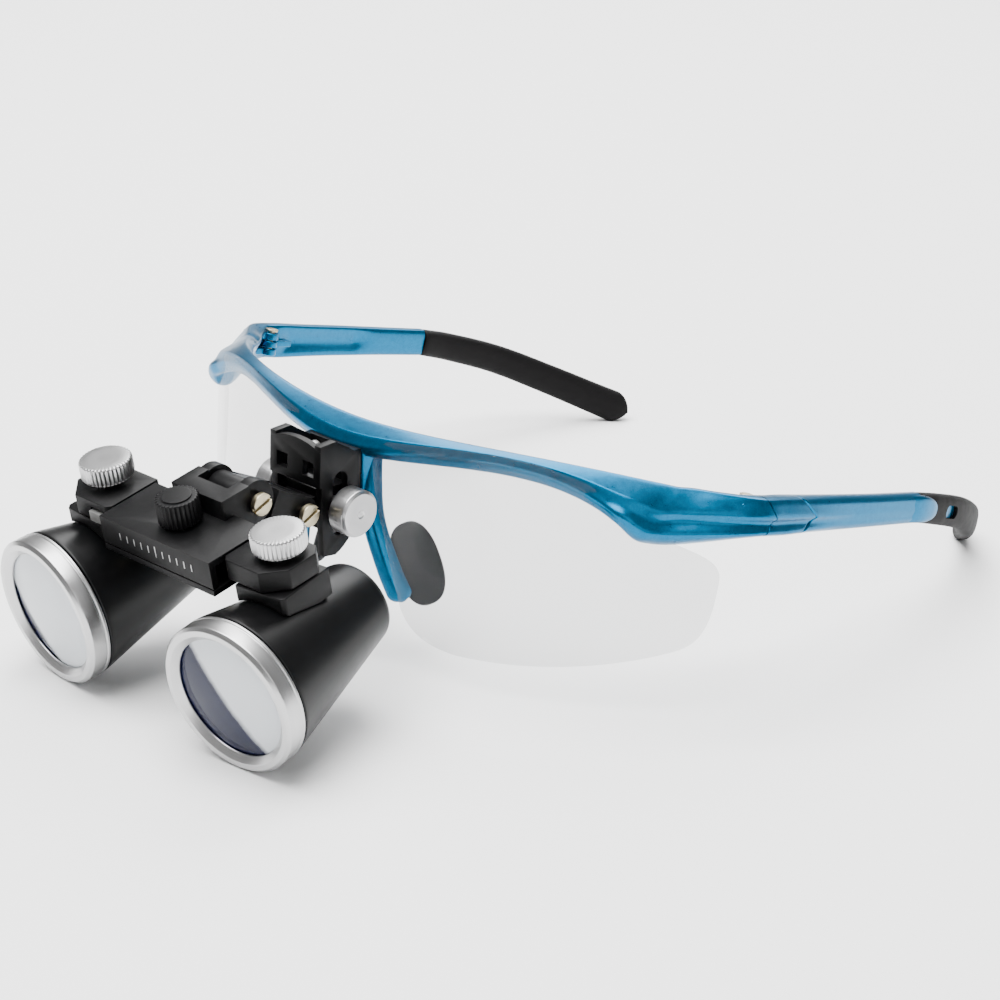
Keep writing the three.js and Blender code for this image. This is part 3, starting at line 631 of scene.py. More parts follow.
@dataclass(frozen=True)
class Finish:
    """A surface: two colours that a pattern mixes, a span of roughness and a depth of relief.

    grain is the pattern's size and relief its depth, both in millimetres.
    """

    name: str
    colour: tuple[float, float, float]
    second: tuple[float, float, float]
    pattern: Pattern
    grain: float
    roughness: tuple[float, float]
    metallic: float = 0.0
    relief: float = 0.01
    strength: float = 0.3
    coat: float = 0.0
    specular: float = 0.5
    alpha: float = 1.0
    # step: where the painted reflection's pale side starts, in millimetres, for that pattern.
    step: float = 0.0

    def coordinates(self, graph: Graph, axis: Datum | None) -> bpy.types.NodeSocket:
        """Object coordinates, or for turned work (10 r, 10 r, z) about an axis.

        Args:
            graph: the material's nodes.
            axis: the frame whose Z is the lathe's axis, for the turned pattern.

        Returns:
            A vector socket.
        """
        place = graph.add("TexCoord").outputs["Object"]
        if self.pattern not in (Pattern.TURNED, Pattern.BLOOM) or axis is None:
            return place
        node = graph.add("Mapping", Vector=place)
        node.vector_type = "TEXTURE"
        turn = Matrix(axis.turn.tolist())
        node.inputs["Location"].default_value = Vector(axis.origin)
        node.inputs["Rotation"].default_value = turn.to_euler()
        if self.pattern is Pattern.BLOOM:
            return node.outputs["Vector"]
        parts = graph.add("SeparateXYZ", Vector=node.outputs["Vector"])
        flat = graph.add("CombineXYZ", X=parts.outputs["X"], Y=parts.outputs["Y"])
        radius = graph.add("VectorMath")
        radius.operation = "LENGTH"
        graph.feed(radius, Vector=flat.outputs["Vector"])
        joined = graph.add("CombineXYZ", X=radius.outputs["Value"], Z=parts.outputs["Z"])
        return joined.outputs["Vector"]

    def bloom(self, graph: Graph, place: bpy.types.NodeSocket,
              streak: bpy.types.NodeSocket) -> bpy.types.NodeSocket:
        """How far the painted reflection pales the lens: a soft diagonal step across it, broken by streaks.

        Args:
            graph: the material's nodes.
            place: position in the lens's own frame, whose Y points down.
            streak: a 0 to 1 noise that shifts the step.

        Returns:
            A 0 to 1 socket.
        """
        across = graph.add("VectorMath", Vector=place)
        across.operation = "DOT_PRODUCT"
        across.inputs[1].default_value = (0.80 / MM, -0.60 / MM, 0)
        moved = graph.add("Math")
        graph.tree.links.new(across.outputs["Value"], moved.inputs[0])
        graph.tree.links.new(streak, moved.inputs[1])
        step = graph.add("MapRange", Value=moved.outputs["Value"], From_Min=self.step - 0.4,
                         From_Max=self.step + 1.6, To_Min=-0.6, To_Max=1.6)
        return step.outputs["Result"]

    def build(self, label: str = "", axis: Datum | None = None) -> bpy.types.Material:
        """Makes the material.

        Args:
            label: added to its name where a finish has more than one axis.
            axis: the frame whose Z is the lathe's axis, for the turned pattern.

        Returns:
            The material.
        """
        graph = Graph(self.name + label)
        place = self.coordinates(graph, axis)
        fine = graph.add("TexNoise", Vector=place, Scale=1 / (self.grain * MM), Detail=3.0,
                         Roughness=0.6)
        broad = graph.add("TexNoise", Vector=place, Scale=1 / (14 * self.grain * MM), Detail=2.0)
        share = fine.outputs["Fac"]
        if self.pattern is Pattern.FLAKE:
            cells = graph.add("TexVoronoi", Vector=place, Scale=1 / (self.grain * MM))
            tint = graph.add("SeparateColor", Color=cells.outputs["Color"])
            share = tint.outputs["Red"]
        # Painted reflection: a pale diagonal step in the lens's own frame mixes the dark glass towards a pale
        # reflected colour.
        if self.pattern is Pattern.BLOOM:
            share = self.bloom(graph, place, fine.outputs["Fac"])
        both = graph.add("Math")
        both.operation = "MULTIPLY_ADD"
        both.inputs[1].default_value = 0.55
        graph.tree.links.new(share, both.inputs[0])
        half = graph.ramp(broad.outputs["Fac"], 0.0, 0.45)
        graph.tree.links.new(half, both.inputs[2])
        colour = graph.mix(both.outputs["Value"], self.colour, self.second)
        rough = graph.ramp(broad.outputs["Fac"], *self.roughness)
        bump = graph.add("Bump", Height=share, Strength=self.strength, Distance=self.relief * MM)
        graph.feed(graph.shader, Base_Color=colour, Roughness=rough, Normal=bump.outputs["Normal"],
                   Metallic=self.metallic, Coat_Weight=self.coat, Coat_Roughness=0.06,
                   Specular_IOR_Level=self.specular, Alpha=self.alpha)
        return graph.material


PEARL = Finish("pearl_blue_lacquer", (0.0, 0.072, 0.165), (0.0002, 0.17, 0.34), Pattern.FLAKE,
               0.09, (0.24, 0.36), metallic=0.88, relief=0.004, strength=0.12, coat=0.08,
               specular=0.12)
CLEAR = Finish("clear_polycarbonate", (0.10, 0.105, 0.11), (0.15, 0.155, 0.16), Pattern.CLOUD,
               3.0, (0.03, 0.07), relief=0.004, strength=0.03, specular=0.8, alpha=0.17)
RUBBER = Finish("black_rubber", (0.0016, 0.0014, 0.0016), (0.0045, 0.0042, 0.0045),
                Pattern.GRAIN, 0.16, (0.55, 0.72), relief=0.03, strength=0.3, specular=0.12)
ANODISED = Finish("black_anodised", (0.0012, 0.0012, 0.0014), (0.0035, 0.0035, 0.004),
                  Pattern.GRAIN, 0.11, (0.34, 0.5), relief=0.015, strength=0.25, specular=0.16)
LACQUER = Finish("black_barrel_lacquer", (0.0012, 0.0012, 0.0014), (0.003, 0.003, 0.0034),
                 Pattern.GRAIN, 0.22, (0.28, 0.4), relief=0.008, strength=0.15, specular=0.2)
SATIN = Finish("satin_aluminium", (0.40, 0.40, 0.405), (0.62, 0.62, 0.62), Pattern.TURNED, 0.10,
               (0.24, 0.38), metallic=1.0, relief=0.012, strength=0.35)
SCREW = Finish("nickel_brass", (0.38, 0.33, 0.22), (0.58, 0.52, 0.38), Pattern.TURNED, 0.12,
               (0.24, 0.4), metallic=1.0, relief=0.01, strength=0.3)
STEEL = Finish("plain_steel", (0.36, 0.36, 0.35), (0.5, 0.5, 0.49), Pattern.GRAIN, 0.2,
               (0.3, 0.45), metallic=1.0, relief=0.008, strength=0.25)
# Dark navy glass, with a painted reflection in the second, pale colour over one side of the lens.
OBJECTIVE = Finish("coated_objective_glass", (0.006, 0.008, 0.03), (0.62, 0.65, 0.68),
                   Pattern.BLOOM, 2.4, (0.03, 0.08), relief=0.001, strength=0.02, coat=0.1,
                   specular=0.15, alpha=0.96)
INNER = Finish("flat_black_stop", (0.002, 0.002, 0.002), (0.006, 0.006, 0.007), Pattern.GRAIN, 0.2,
               (0.8, 0.9), relief=0.01, specular=0.1)


# ---------------------------------------------------------------- placing pieces


@dataclass
class Bench:
    made: list[str] = field(default_factory=list)

    def body_of(self, node: str) -> str:
        """The body that a node belongs to."""
        return frame["nodes"][node]["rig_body"]

    def put(self, name: str, mesh: bpy.types.Mesh, material: bpy.types.Material, body: str) -> bpy.types.Object:
        """Makes an object that rides on a body.

        Args:
            name: the object's name.
            mesh: its mesh, already in the shared frame.
            material: its finish.
            body: the body it rides on.

        Returns:
            The object.
        """
        piece = bpy.data.objects.new(name, mesh)
        bpy.context.scene.collection.objects.link(piece)
        mesh.materials.clear()
        mesh.materials.append(material)
        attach(piece, body)
        self.made.append(name)
        LOG.info("%s: %d faces on %s", name, len(mesh.polygons), body)
        return piece

    def stand_in(self, node: str, shape: Shape, material: bpy.types.Material,
                 sharp: float = 35) -> bpy.types.Object:
        """Makes a shape the visible form of a CAD node.

        Args:
            node: the node it replaces.
            shape: its skins.
            material: its finish.
            sharp: angle in degrees past which an edge is left hard.

        Returns:
            The object.
        """
        piece = self.put(node + "_form", shape.mesh(node + "_form", sharp), material,
                         self.body_of(node))
        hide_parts(node)
        return piece

    def machined(self, node: str, material: bpy.types.Material,
                 bevel: float = 0.22) -> bpy.types.Object:
        """Softens the edges of a merged copy of a CAD node, which the copy then stands for.

        Args:
            node: the node copied.
            material: its finish.
            bevel: width cut off each edge, in millimetres.

        Returns:
            The object.
        """
        mesh = frame["nodes"][node].data.copy()
        mesh.name = node + "_form"
        welded(mesh, 40, bevel * MM)
        piece = self.put(node + "_form", mesh, material, self.body_of(node))
        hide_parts(node)
        return piece

    def keep(self, node: str, material: bpy.types.Material) -> None:
        """Leaves a hidden inner CAD node as it is, in a better finish.

        Args:
            node: the node.
            material: its finish.
        """
        slots = frame["nodes"][node].data.materials
        slots.clear()
        slots.append(material)


# ---------------------------------------------------------------- spectacles


@dataclass
class RimLine:
    """The line from the bridge over the brow and along the temple, with its changing section.

    Stations lie at whole parameters: the brow's come from polynomials of |x| / reach, and the
    end piece's and temple's are listed. Each station is the section's upper and lower
    corner and its thickness. At any parameter a section point is
    top + down * height * v + out * thickness * w, where out is square to down and to the line.
    """

    reach: float = 70
    top_y: tuple[float, float, float] = (-3.7, 22.7, 18.4)
    top_z: tuple[float, float, float] = (2.0, 13.7, -13.0)
    bottom_y: tuple[float, float, float] = (-9.4, 41.1, -18.9)
    bottom_z: tuple[float, float, float] = (-3.0, 44.6, -53.9)
    brow_x: tuple[float, ...] = (0, 5, 10, 16, 22, 29, 36, 43, 49, 54, 58)
    brow_thick: float = 3.4
    later: tuple[tuple[float, ...], ...] = (
        (60.6, 22.6, 3.9, 60.8, 13.2, -5.9, 4.0),
        (63.4, 25.6, 4.1, 62.6, 17.0, -6.5, 4.2),
        (67.2, 29.2, 4.1, 67.2, 24.2, -5.4, 4.2),
        (70.4, 32.8, 4.0, 70.4, 30.4, -4.4, 4.1),
        (72.0, 36.2, 3.8, 72.0, 36.0, -3.8, 4.0),
        (72.3, 42.0, 3.8, 72.3, 42.0, -3.8, 4.0),
        (72.5, 50.0, 3.65, 72.5, 50.0, -3.65, 3.9),
        (72.8, 60.0, 3.55, 72.8, 60.0, -3.55, 3.8),
        (73.0, 74.0, 3.35, 73.0, 74.0, -3.35, 3.7),
        (72.9, 90.0, 3.2, 72.9, 90.0, -3.2, 3.6),
    )
    seam: float = 14.77
    seam_depth: float = 0.63
    end: float = 20.0

    BROW = ((0, -.55), (.03, -.18), (.10, -.03), (.33, .09), (.60, .19), (.70, .19), (.86, -.02),
            (.97, -.2), (1, -.5), (.93, -.95), (.5, -1), (.08, -.95))
    END = ((0, -.55), (.03, -.16), (.10, 0), (.27, .12), (.42, .2), (.50, .18), (.64, .03),
           (.88, .2), (1, -.3), (.95, -.95), (.5, -1), (.06, -.95))
    TAIL = ((0, -.5), (.05, -.2), (.16, -.04), (.32, 0), (.46, .02), (.54, .02), (.68, 0),
            (.84, -.04), (.97, -.28), (.93, -.9), (.5, -1), (.07, -.9))

    @staticmethod
    def bend(share: Array, factors: tuple[float, float, float], last: int) -> Array:
        """A polynomial of the brow's share: first + second * u^2 + third * u^last."""
        return factors[0] + factors[1] * share ** 2 + factors[2] * share ** last

    @staticmethod
    def middle(rows: Array) -> Array:
        """The line halfway between a station's upper and lower corners."""
        return (rows[..., :3] + rows[..., 3:6]) / 2

    def stations(self) -> Array:
        """All stations, with one mirrored ahead of the bridge, so station i is in row i + 1.

        Returns:
            Rows of seven numbers.
        """
        u = np.array(self.brow_x) / self.reach
        rows = np.column_stack([
            self.brow_x, self.bend(u, self.top_y, 4), self.bend(u, self.top_z, 3),
            self.brow_x, self.bend(u, self.bottom_y, 4), self.bend(u, self.bottom_z, 3),
            np.full(len(u), self.brow_thick)])
        ahead = rows[1] * np.array([-1, 1, 1, -1, 1, 1, 1])
        return np.vstack([ahead, rows, np.array(self.later)])

    def section(self, at: Array) -> Array:
        """Section outlines, mixed from the brow's, the end piece's and the temple's.

        Args:
            at: parameters, shape (rows,).

        Returns:
            (v, w) points, shape (rows, columns, 2).
        """
        brow, end, tail = (np.array(s, float) for s in (self.BROW, self.END, self.TAIL))
        to_end = smooth(at, 8.5, 12.5)[:, None, None]
        to_tail = smooth(at, 15.8, 18.2)[:, None, None]
        knots = brow + (end - brow) * to_end
        knots = knots + (tail - knots) * to_tail
        trough = smooth(at, 15.2, 15.9) * (1 - smooth(at, 18.3, 19))
        knots[:, 10, 1] += 0.24 * trough
        return np.einsum("pk,rkc->rpc", loop_spline(brow, 6), knots)

    def surface(self, at: Array, shear: Array, groove: float | None = None) -> Array:
        """The skin at a row of parameters, leaned into a V where shear is 1.

        A point's parameter is moved by shear * depth * (1 - 0.83 |2v - 1|), so that a row near
        the seam becomes the seam's V.

        Args:
            at: parameters, shape (rows,).
            shear: share of the V at each, shape (rows,).
            groove: parameter of a shallow V-shaped groove over the outer face, or none.

        Returns:
            Points, shape (rows, columns, 3).
        """
        vw = self.section(at)
        v, w = vw[..., 0], vw[..., 1].copy()
        if groove is not None:
            w -= 0.075 * np.exp(-((at[:, None] - groove) / 0.035) ** 2) * (w > -0.45)
        s = at[:, None] + shear[:, None] * self.seam_depth * (1 - 0.83 * np.abs(2 * v - 1))
        knots = self.stations()
        step = 0.25
        here = spline(knots, s + 1)
        ahead, behind = spline(knots, s + 1 + step), spline(knots, s + 1 - step)
        along = self.middle(ahead) - self.middle(behind)
        down = here[..., 3:6] - here[..., :3]
        height = np.linalg.norm(down, axis=-1, keepdims=True)
        down /= height
        out = np.cross(down, along)
        out /= np.linalg.norm(out, axis=-1, keepdims=True)
        return here[..., :3] + down * height * v[..., None] + out * here[..., 6:] * w[..., None]


@dataclass
class Spectacles:
    """Brow frame with bridge and nose arms, lenses, pads, temples and sleeves."""

    rim: RimLine = field(default_factory=RimLine)
    gap: float = 0.05
    bridge_low: tuple[float, float, float] = (-7.3, -8.45, -12.5)
    bridge_high: tuple[float, float, float] = (7.3, -3.6, -0.9)
    arm_route: tuple[tuple[float, float, float], ...] = (
        (5.6, -3.6, -2), (7.2, -4.0, -9), (9.2, -3.4, -17), (12.0, 0.2, -26), (14.4, 3.7, -32.6))
    arm_half: tuple[float, float] = (1.9, 2.6)
    arm_thick: float = 1.25
    pad_at: tuple[float, float, float] = (12.6, 8.0, -25.5)
    pad_half: tuple[float, float, float] = (1.9, 4.8, 8.6)
    lens_radius: float = 88
    lens_lift: float = 200
    lens_start: tuple[float, float] = (-8, -3)
    lens_lean: float = math.tan(math.radians(8))
    lens_thick: float = 2.0
    lens_middle: tuple[float, float] = (38, -19)
    sleeve_route: tuple[tuple[float, float, float], ...] = (
        (70.9, 90.35, 0), (70.2, 100, -0.9), (67.2, 115, -3.1), (61.7, 130, -6.8),
        (55.2, 141.5, -10.05), (49.6, 148.4, -12.05))
    tongue_route: tuple[tuple[float, float, float], ...] = (
        (70.3, 85, 0), (70.95, 90, 0), (70.95, 94, -0.3), (70.6, 97.6, -0.65))
    tongue_out: float = 1.3
    tongue_half: tuple[float, float] = (2.9, 1.0)
    window_at: float = 0.27
    window: tuple[float, float] = (6.6, 2.8)
    window_span: tuple[float, float] = (0.9, 6.0)
    inlay_span: tuple[float, float] = (0.92, 1.3)

    def brow(self) -> Shape:
        """The brow from seam to seam, the bridge block, nose arms and hinge knuckles.

        Returns:
            The shape.
        """
        rim = self.rim
        at = np.concatenate([np.linspace(0, 8, 61), np.linspace(8, rim.seam, 90)[1:]])
        left = rim.surface(at, smooth(at, 12.3, rim.seam))
        cap = self.seam_cap(left[-1])
        left = np.concatenate([left, cap])
        right = mirrored(left)[:0:-1]
        shape = Shape(SPECS).skin(np.concatenate([right, left]))
        turn = turn_x(-SPECS_TILT + STAND_TILT)
        outline = rounded(
            [(self.bridge_low[0], self.bridge_low[2]), (self.bridge_high[0], self.bridge_low[2]),
             (self.bridge_high[0], self.bridge_high[2]), (self.bridge_low[0], self.bridge_high[2])],
            1.4, closed=True)
        shape.prism(outline, -self.bridge_high[1], -self.bridge_low[1], 0.5, turn @ ALONG_FRONT)
        for side in Side:
            shape.skin(handed(self.arm(), side))
            for low, high in ((-2.5, -1.0), (1.0, 2.5)):
                self.knuckle(shape, side, low, high)
                corners = ((66.2, 30.6), (70, 30.6), (70, 35.2), (66.2, 36))
                leaf = [(s * side.value, y) for s, y in corners]
                outline_leaf = rounded(leaf if side is Side.LEFT else leaf[::-1], 0.4, closed=True)
                shape.prism(outline_leaf, low, high, 0.25)
        return shape

    def seam_cap(self, ring: Array) -> Array:
        """Rows that close a V-shaped end, drawn in towards the section's middle line.

        Args:
            ring: the end row.

        Returns:
            Two inner rows that keep to the V.
        """
        middle = ring.mean(0)
        rows = []
        for share in (0.6, 0.2):
            row = middle + (ring - middle) * np.array([share, 0, share])
            lean = 3.4 * (np.abs(ring[:, 2] - middle[2]) - np.abs(row[:, 2] - middle[2])) / 4.6
            row[:, 1] = ring[:, 1] + lean
            rows.append(row)
        return np.array(rows)

    def knuckle(self, shape: Shape, side: Side, low: float, high: float) -> None:
        """Adds one round hinge knuckle about the hinge's axis."""
        rounded_rod = rounded([(0.8, low), (1.7, low), (1.7, high), (0.8, high)], 0.25, closed=True)
        shape.turned(rounded_rod, 40, at=(HINGE[0] * side.value, HINGE[1], 0))

    def arm(self) -> Array:
        """The left nose arm: a rhombic section with soft ridges, carried down a spline.

        Returns:
            Points, shape (rows, columns, 3).
        """
        t = np.linspace(0, 1, 56)
        at = t * (len(self.arm_route) - 1)
        middle, along = route(np.array(self.arm_route), at)
        across = np.cross(np.cross(np.array([0.8, 0.6, 0]), along), along)
        across /= -np.linalg.norm(across, axis=1, keepdims=True)
        thin = np.cross(along, across)
        wide = self.arm_half[0] + (self.arm_half[1] - self.arm_half[0]) * t
        end = np.sqrt(np.clip(1 - np.clip((t - 0.93) / 0.07, 0, 0.98) ** 2, 0, 1))
        return section_sweep(middle, across, thin, wide * end, self.arm_thick * end, 1.45, 36)

    def pad(self) -> Array:
        """The left nose pad: an ellipsoid squared off a little along its length.

        Returns:
            Points, shape (rows, columns, 3).
        """
        fall = np.linspace(-np.pi / 2, np.pi / 2, 41)[1:-1]
        round_ = np.linspace(0, 2 * np.pi, 56, endpoint=False)
        reach, rise = signed_power(np.cos(fall), 0.8), signed_power(np.sin(fall), 0.85)
        grid = np.stack([
            np.outer(reach, signed_power(np.cos(round_), 0.9)) * self.pad_half[0],
            np.outer(reach, signed_power(np.sin(round_), 0.8)) * self.pad_half[1],
            np.repeat(rise[:, None], len(round_), 1) * self.pad_half[2]], -1)
        lean = turn_y(-14) @ turn_z(-32) @ turn_x(20)
        return grid @ lean.T + np.array(self.pad_at)

    def lens_outline(self) -> Array:
        """The left lens seen from the front, as (x, z) points on curves between few corners.

        Returns:
            Points, shape (260, 2).
        """
        u = np.array([58, 50, 42, 34, 26, 18, 11]) / self.rim.reach
        c = self.rim.bottom_z
        upper = np.column_stack([u * self.rim.reach, c[0] + c[1] * u ** 2 + c[2] * u ** 3 + 1.4])
        inner = [(8.9, -3.5), (10.4, -12), (13.2, -20), (16.2, -30.5)]
        lower = bezier((16.2, -30.5), (17.4, -37), (22, -39.2), (29, -39.2))
        out = bezier((29, -39.2), (44, -38.2), (57, -33.6), (64.8, -28))
        corner = bezier((64.8, -28), (68.5, -25.2), (68.9, -19), (69.3, -12.4))
        tip = bezier((69.3, -12.4), (69.4, -8.8), (66.5, -8.2), (61.6, -6.4))
        line = np.vstack([upper, inner, lower[1:], out[1:], corner[1:], tip[1:]])
        return resampled(line, 260)

    def lens(self) -> Array:
        """The left lens: rows run from the middle of its front face over the rim to its back.

        The face is y = start + wrap + lean * drop + drop^2 / (2 lift), where wrap is the sag of
        a cylinder about Z at x, and drop is the depth below the top.

        Returns:
            Points, shape (rows, columns, 3).
        """
        outline, middle = self.lens_outline(), np.array(self.lens_middle)
        shares = np.concatenate([np.linspace(0.02, 0.985, 26), [0.995, 1.0]])
        turn = np.linspace(0, np.pi, 5)[1:-1]
        rows, depths = [], []
        for share in shares:
            rows.append(middle + (outline - middle) * share)
            depths.append(0.3 * smooth(share, 0.98, 1.0))
        for angle in turn:
            rows.append(outline)
            depths.append(self.lens_thick / 2 - (self.lens_thick / 2 - 0.3) * math.cos(angle))
        for share in shares[::-1]:
            rows.append(middle + (outline - middle) * share)
            depths.append(self.lens_thick - 0.3 * smooth(share, 0.98, 1.0))
        flat = np.array(rows)
        x, z = flat[..., 0], flat[..., 1]
        drop = self.lens_start[1] - z
        wrap = self.lens_radius - np.sqrt(self.lens_radius ** 2 - x ** 2)
        face = self.lens_start[0] + wrap + drop * self.lens_lean + drop ** 2 / (2 * self.lens_lift)
        return np.stack([x, face + np.array(depths, float)[:, None], z], -1)

    def temple(self) -> Array:
        """The left temple from just behind the seam to its tail, with a chevron groove.

        Returns:
            Points, shape (rows, columns, 3).
        """
        rim = self.rim
        start = rim.seam + self.gap
        at = np.concatenate([np.linspace(start, 16.4, 40), np.linspace(16.4, 17.4, 90)[1:],
                             np.linspace(17.4, rim.end, 50)[1:]])
        shear = 1 - smooth(at, 17.4, 18.8)
        skin = rim.surface(at, shear, groove=16.55)
        return np.concatenate([self.seam_cap(skin[0])[::-1], skin])

    def tongue(self) -> Array:
        """The temple's outer tongue, which narrows to a rounded point over the sleeve.

        Returns:
            Points, shape (rows, columns, 3).
        """
        t = np.linspace(0, 1, 48)
        middle, along = route(np.array(self.tongue_route), t * (len(self.tongue_route) - 1))
        across = np.cross(along, np.array([0, 0, 1.0]))
        across /= np.linalg.norm(across, axis=1, keepdims=True)
        up = np.cross(across, along)
        end = np.sqrt(1 - np.clip((t - 0.3) / 0.7, 0, 0.995) ** 2)
        return section_sweep(middle + across * self.tongue_out, up, across,
                             self.tongue_half[0] * end, self.tongue_half[1] * end ** 0.3, 3.0, 36)

    def sleeve(self) -> Array:
        """The left sleeve: a rounded section, widening and thinning, carried down a spline.

        Returns:
            Points, shape (rows, columns, 3).
        """
        t = np.linspace(0, 1, 120)
        at = t * (len(self.sleeve_route) - 1)
        middle, along = route(np.array(self.sleeve_route), at)
        across = np.cross(np.array([0, 0, 1.0]), along)
        across /= np.linalg.norm(across, axis=1, keepdims=True)
        up = np.cross(along, across)
        tail = np.clip((t - 0.90) / 0.10, 0, 0.995)
        end = np.sqrt(1 - tail ** 2) * (0.55 + 0.45 * np.sqrt(1 - tail ** 2))
        start = 0.9 + 0.1 * smooth(t, 0, 0.012)
        high = (3.1 + 0.85 * t) * end * start
        thick = (2.3 - 0.35 * t) * np.sqrt(1 - (0.9 * tail) ** 2) * start
        return section_sweep(middle, up, across, high, thick, 2.7, 48)

    def oval(self, side: Side, span: tuple[float, float], spare: float) -> Array:
        """A round-ended prism in a sleeve's outer wall.

        Args:
            side: which sleeve.
            span: its floor and its top, in millimetres outward of the sleeve's middle.
            spare: how much smaller it is than the window all round.

        Returns:
            Two rows of points.
        """
        at = np.array([self.window_at * (len(self.sleeve_route) - 1)])
        middle, along = route(np.array(self.sleeve_route), at)
        out = np.cross(along[0], np.array([0, 0, 1.0]))
        out /= np.linalg.norm(out)
        up = np.cross(out, along[0])
        length, height = self.window[0] / 2 - spare, self.window[1] / 2 - spare
        angle = np.linspace(0, 2 * np.pi, 48, endpoint=False)
        straight = np.where(np.abs(angle - np.pi) < np.pi / 2, -1, 1) * (length - height)
        u, v = straight + height * np.cos(angle), height * np.sin(angle)
        rows = [middle[0] + along[0] * u[:, None] + up * v[:, None] + out * d for d in span]
        return handed(np.array(rows), side)

    def cut_window(self, piece: bpy.types.Object, side: Side) -> None:
        """Cuts the oval window into a sleeve's outer wall.

        Args:
            piece: the sleeve's object.
            side: which sleeve.
        """
        form = Shape(SPECS).skin(self.oval(side, self.window_span, 0)).mesh("cutter")
        cutter = bpy.data.objects.new("cutter", form)
        bpy.context.scene.collection.objects.link(cutter)
        cut = piece.modifiers.new("window", "BOOLEAN")
        cut.object = cutter
        cut.solver = "EXACT"
        bpy.context.view_layer.update()
        shown = piece.evaluated_get(bpy.context.evaluated_depsgraph_get())
        result = bpy.data.meshes.new_from_object(shown)
        piece.modifiers.clear()
        bpy.data.objects.remove(cutter)
        old = piece.data
        piece.data = result
        bpy.data.meshes.remove(old)
        piece.data.set_sharp_from_angle(angle=math.radians(40))

    def make(self, bench: Bench) -> None:
        """Builds and dresses every piece of the spectacles.

        Args:
            bench: where pieces are put.
        """
        pearl, clear, rubber = PEARL.build(), CLEAR.build(), RUBBER.build()
        bench.stand_in("brow_frame", self.brow(), pearl, 42)
        for side in Side:
            end = side.suffix
            bench.stand_in(f"lens_{end}", Shape(SPECS).skin(handed(self.lens(), side)), clear, 60)
            bench.stand_in(f"nose_pad_{end}", Shape(SPECS).skin(handed(self.pad(), side)), rubber)
            temple = Shape(SPECS).skin(handed(self.temple(), side))
            temple.skin(handed(self.tongue(), side))
            temple.skin(self.oval(side, self.inlay_span, 0.04))
            self.knuckle(temple, side, -0.7, 0.7)
            corners = ((66.2, 36.2), (67.6, 36.2), (69.2, 42.6), (66.2, 42.6))
            leaf = [(s * side.value, y) for s, y in corners]
            temple.prism(rounded(leaf if side is Side.LEFT else leaf[::-1], 0.4, closed=True),
                         -0.7, 0.7, 0.2)
            bench.stand_in(f"temple_{end}", temple, pearl, 42)
            sleeve = bench.stand_in(f"temple_sleeve_{end}",
                                    Shape(SPECS).skin(handed(self.sleeve(), side)), rubber, 50)
            self.cut_window(sleeve, side)
            self.hinge_screw(bench, side)

    def hinge_screw(self, bench: Bench, side: Side) -> None:
        """Adds the hinge screw with its slotted head on top.

        Args:
            bench: where pieces are put.
            side: which hinge.
        """
        axis = SPECS.child((HINGE[0] * side.value, HINGE[1], 0))
        shape = Shape(axis)
        shape.turned([(0, -2.5), (0.7, -2.5), (0.7, 2.9), (0, 2.9)], 32)
        slotted_head(shape, 1.4, 2.8, 3.35, 0.2)
        bench.stand_in(f"hinge_screw_{side.suffix}", shape,
                       SCREW.build(f"_hinge_{side.suffix}", axis))


# ---------------------------------------------------------------- mount, link and bar


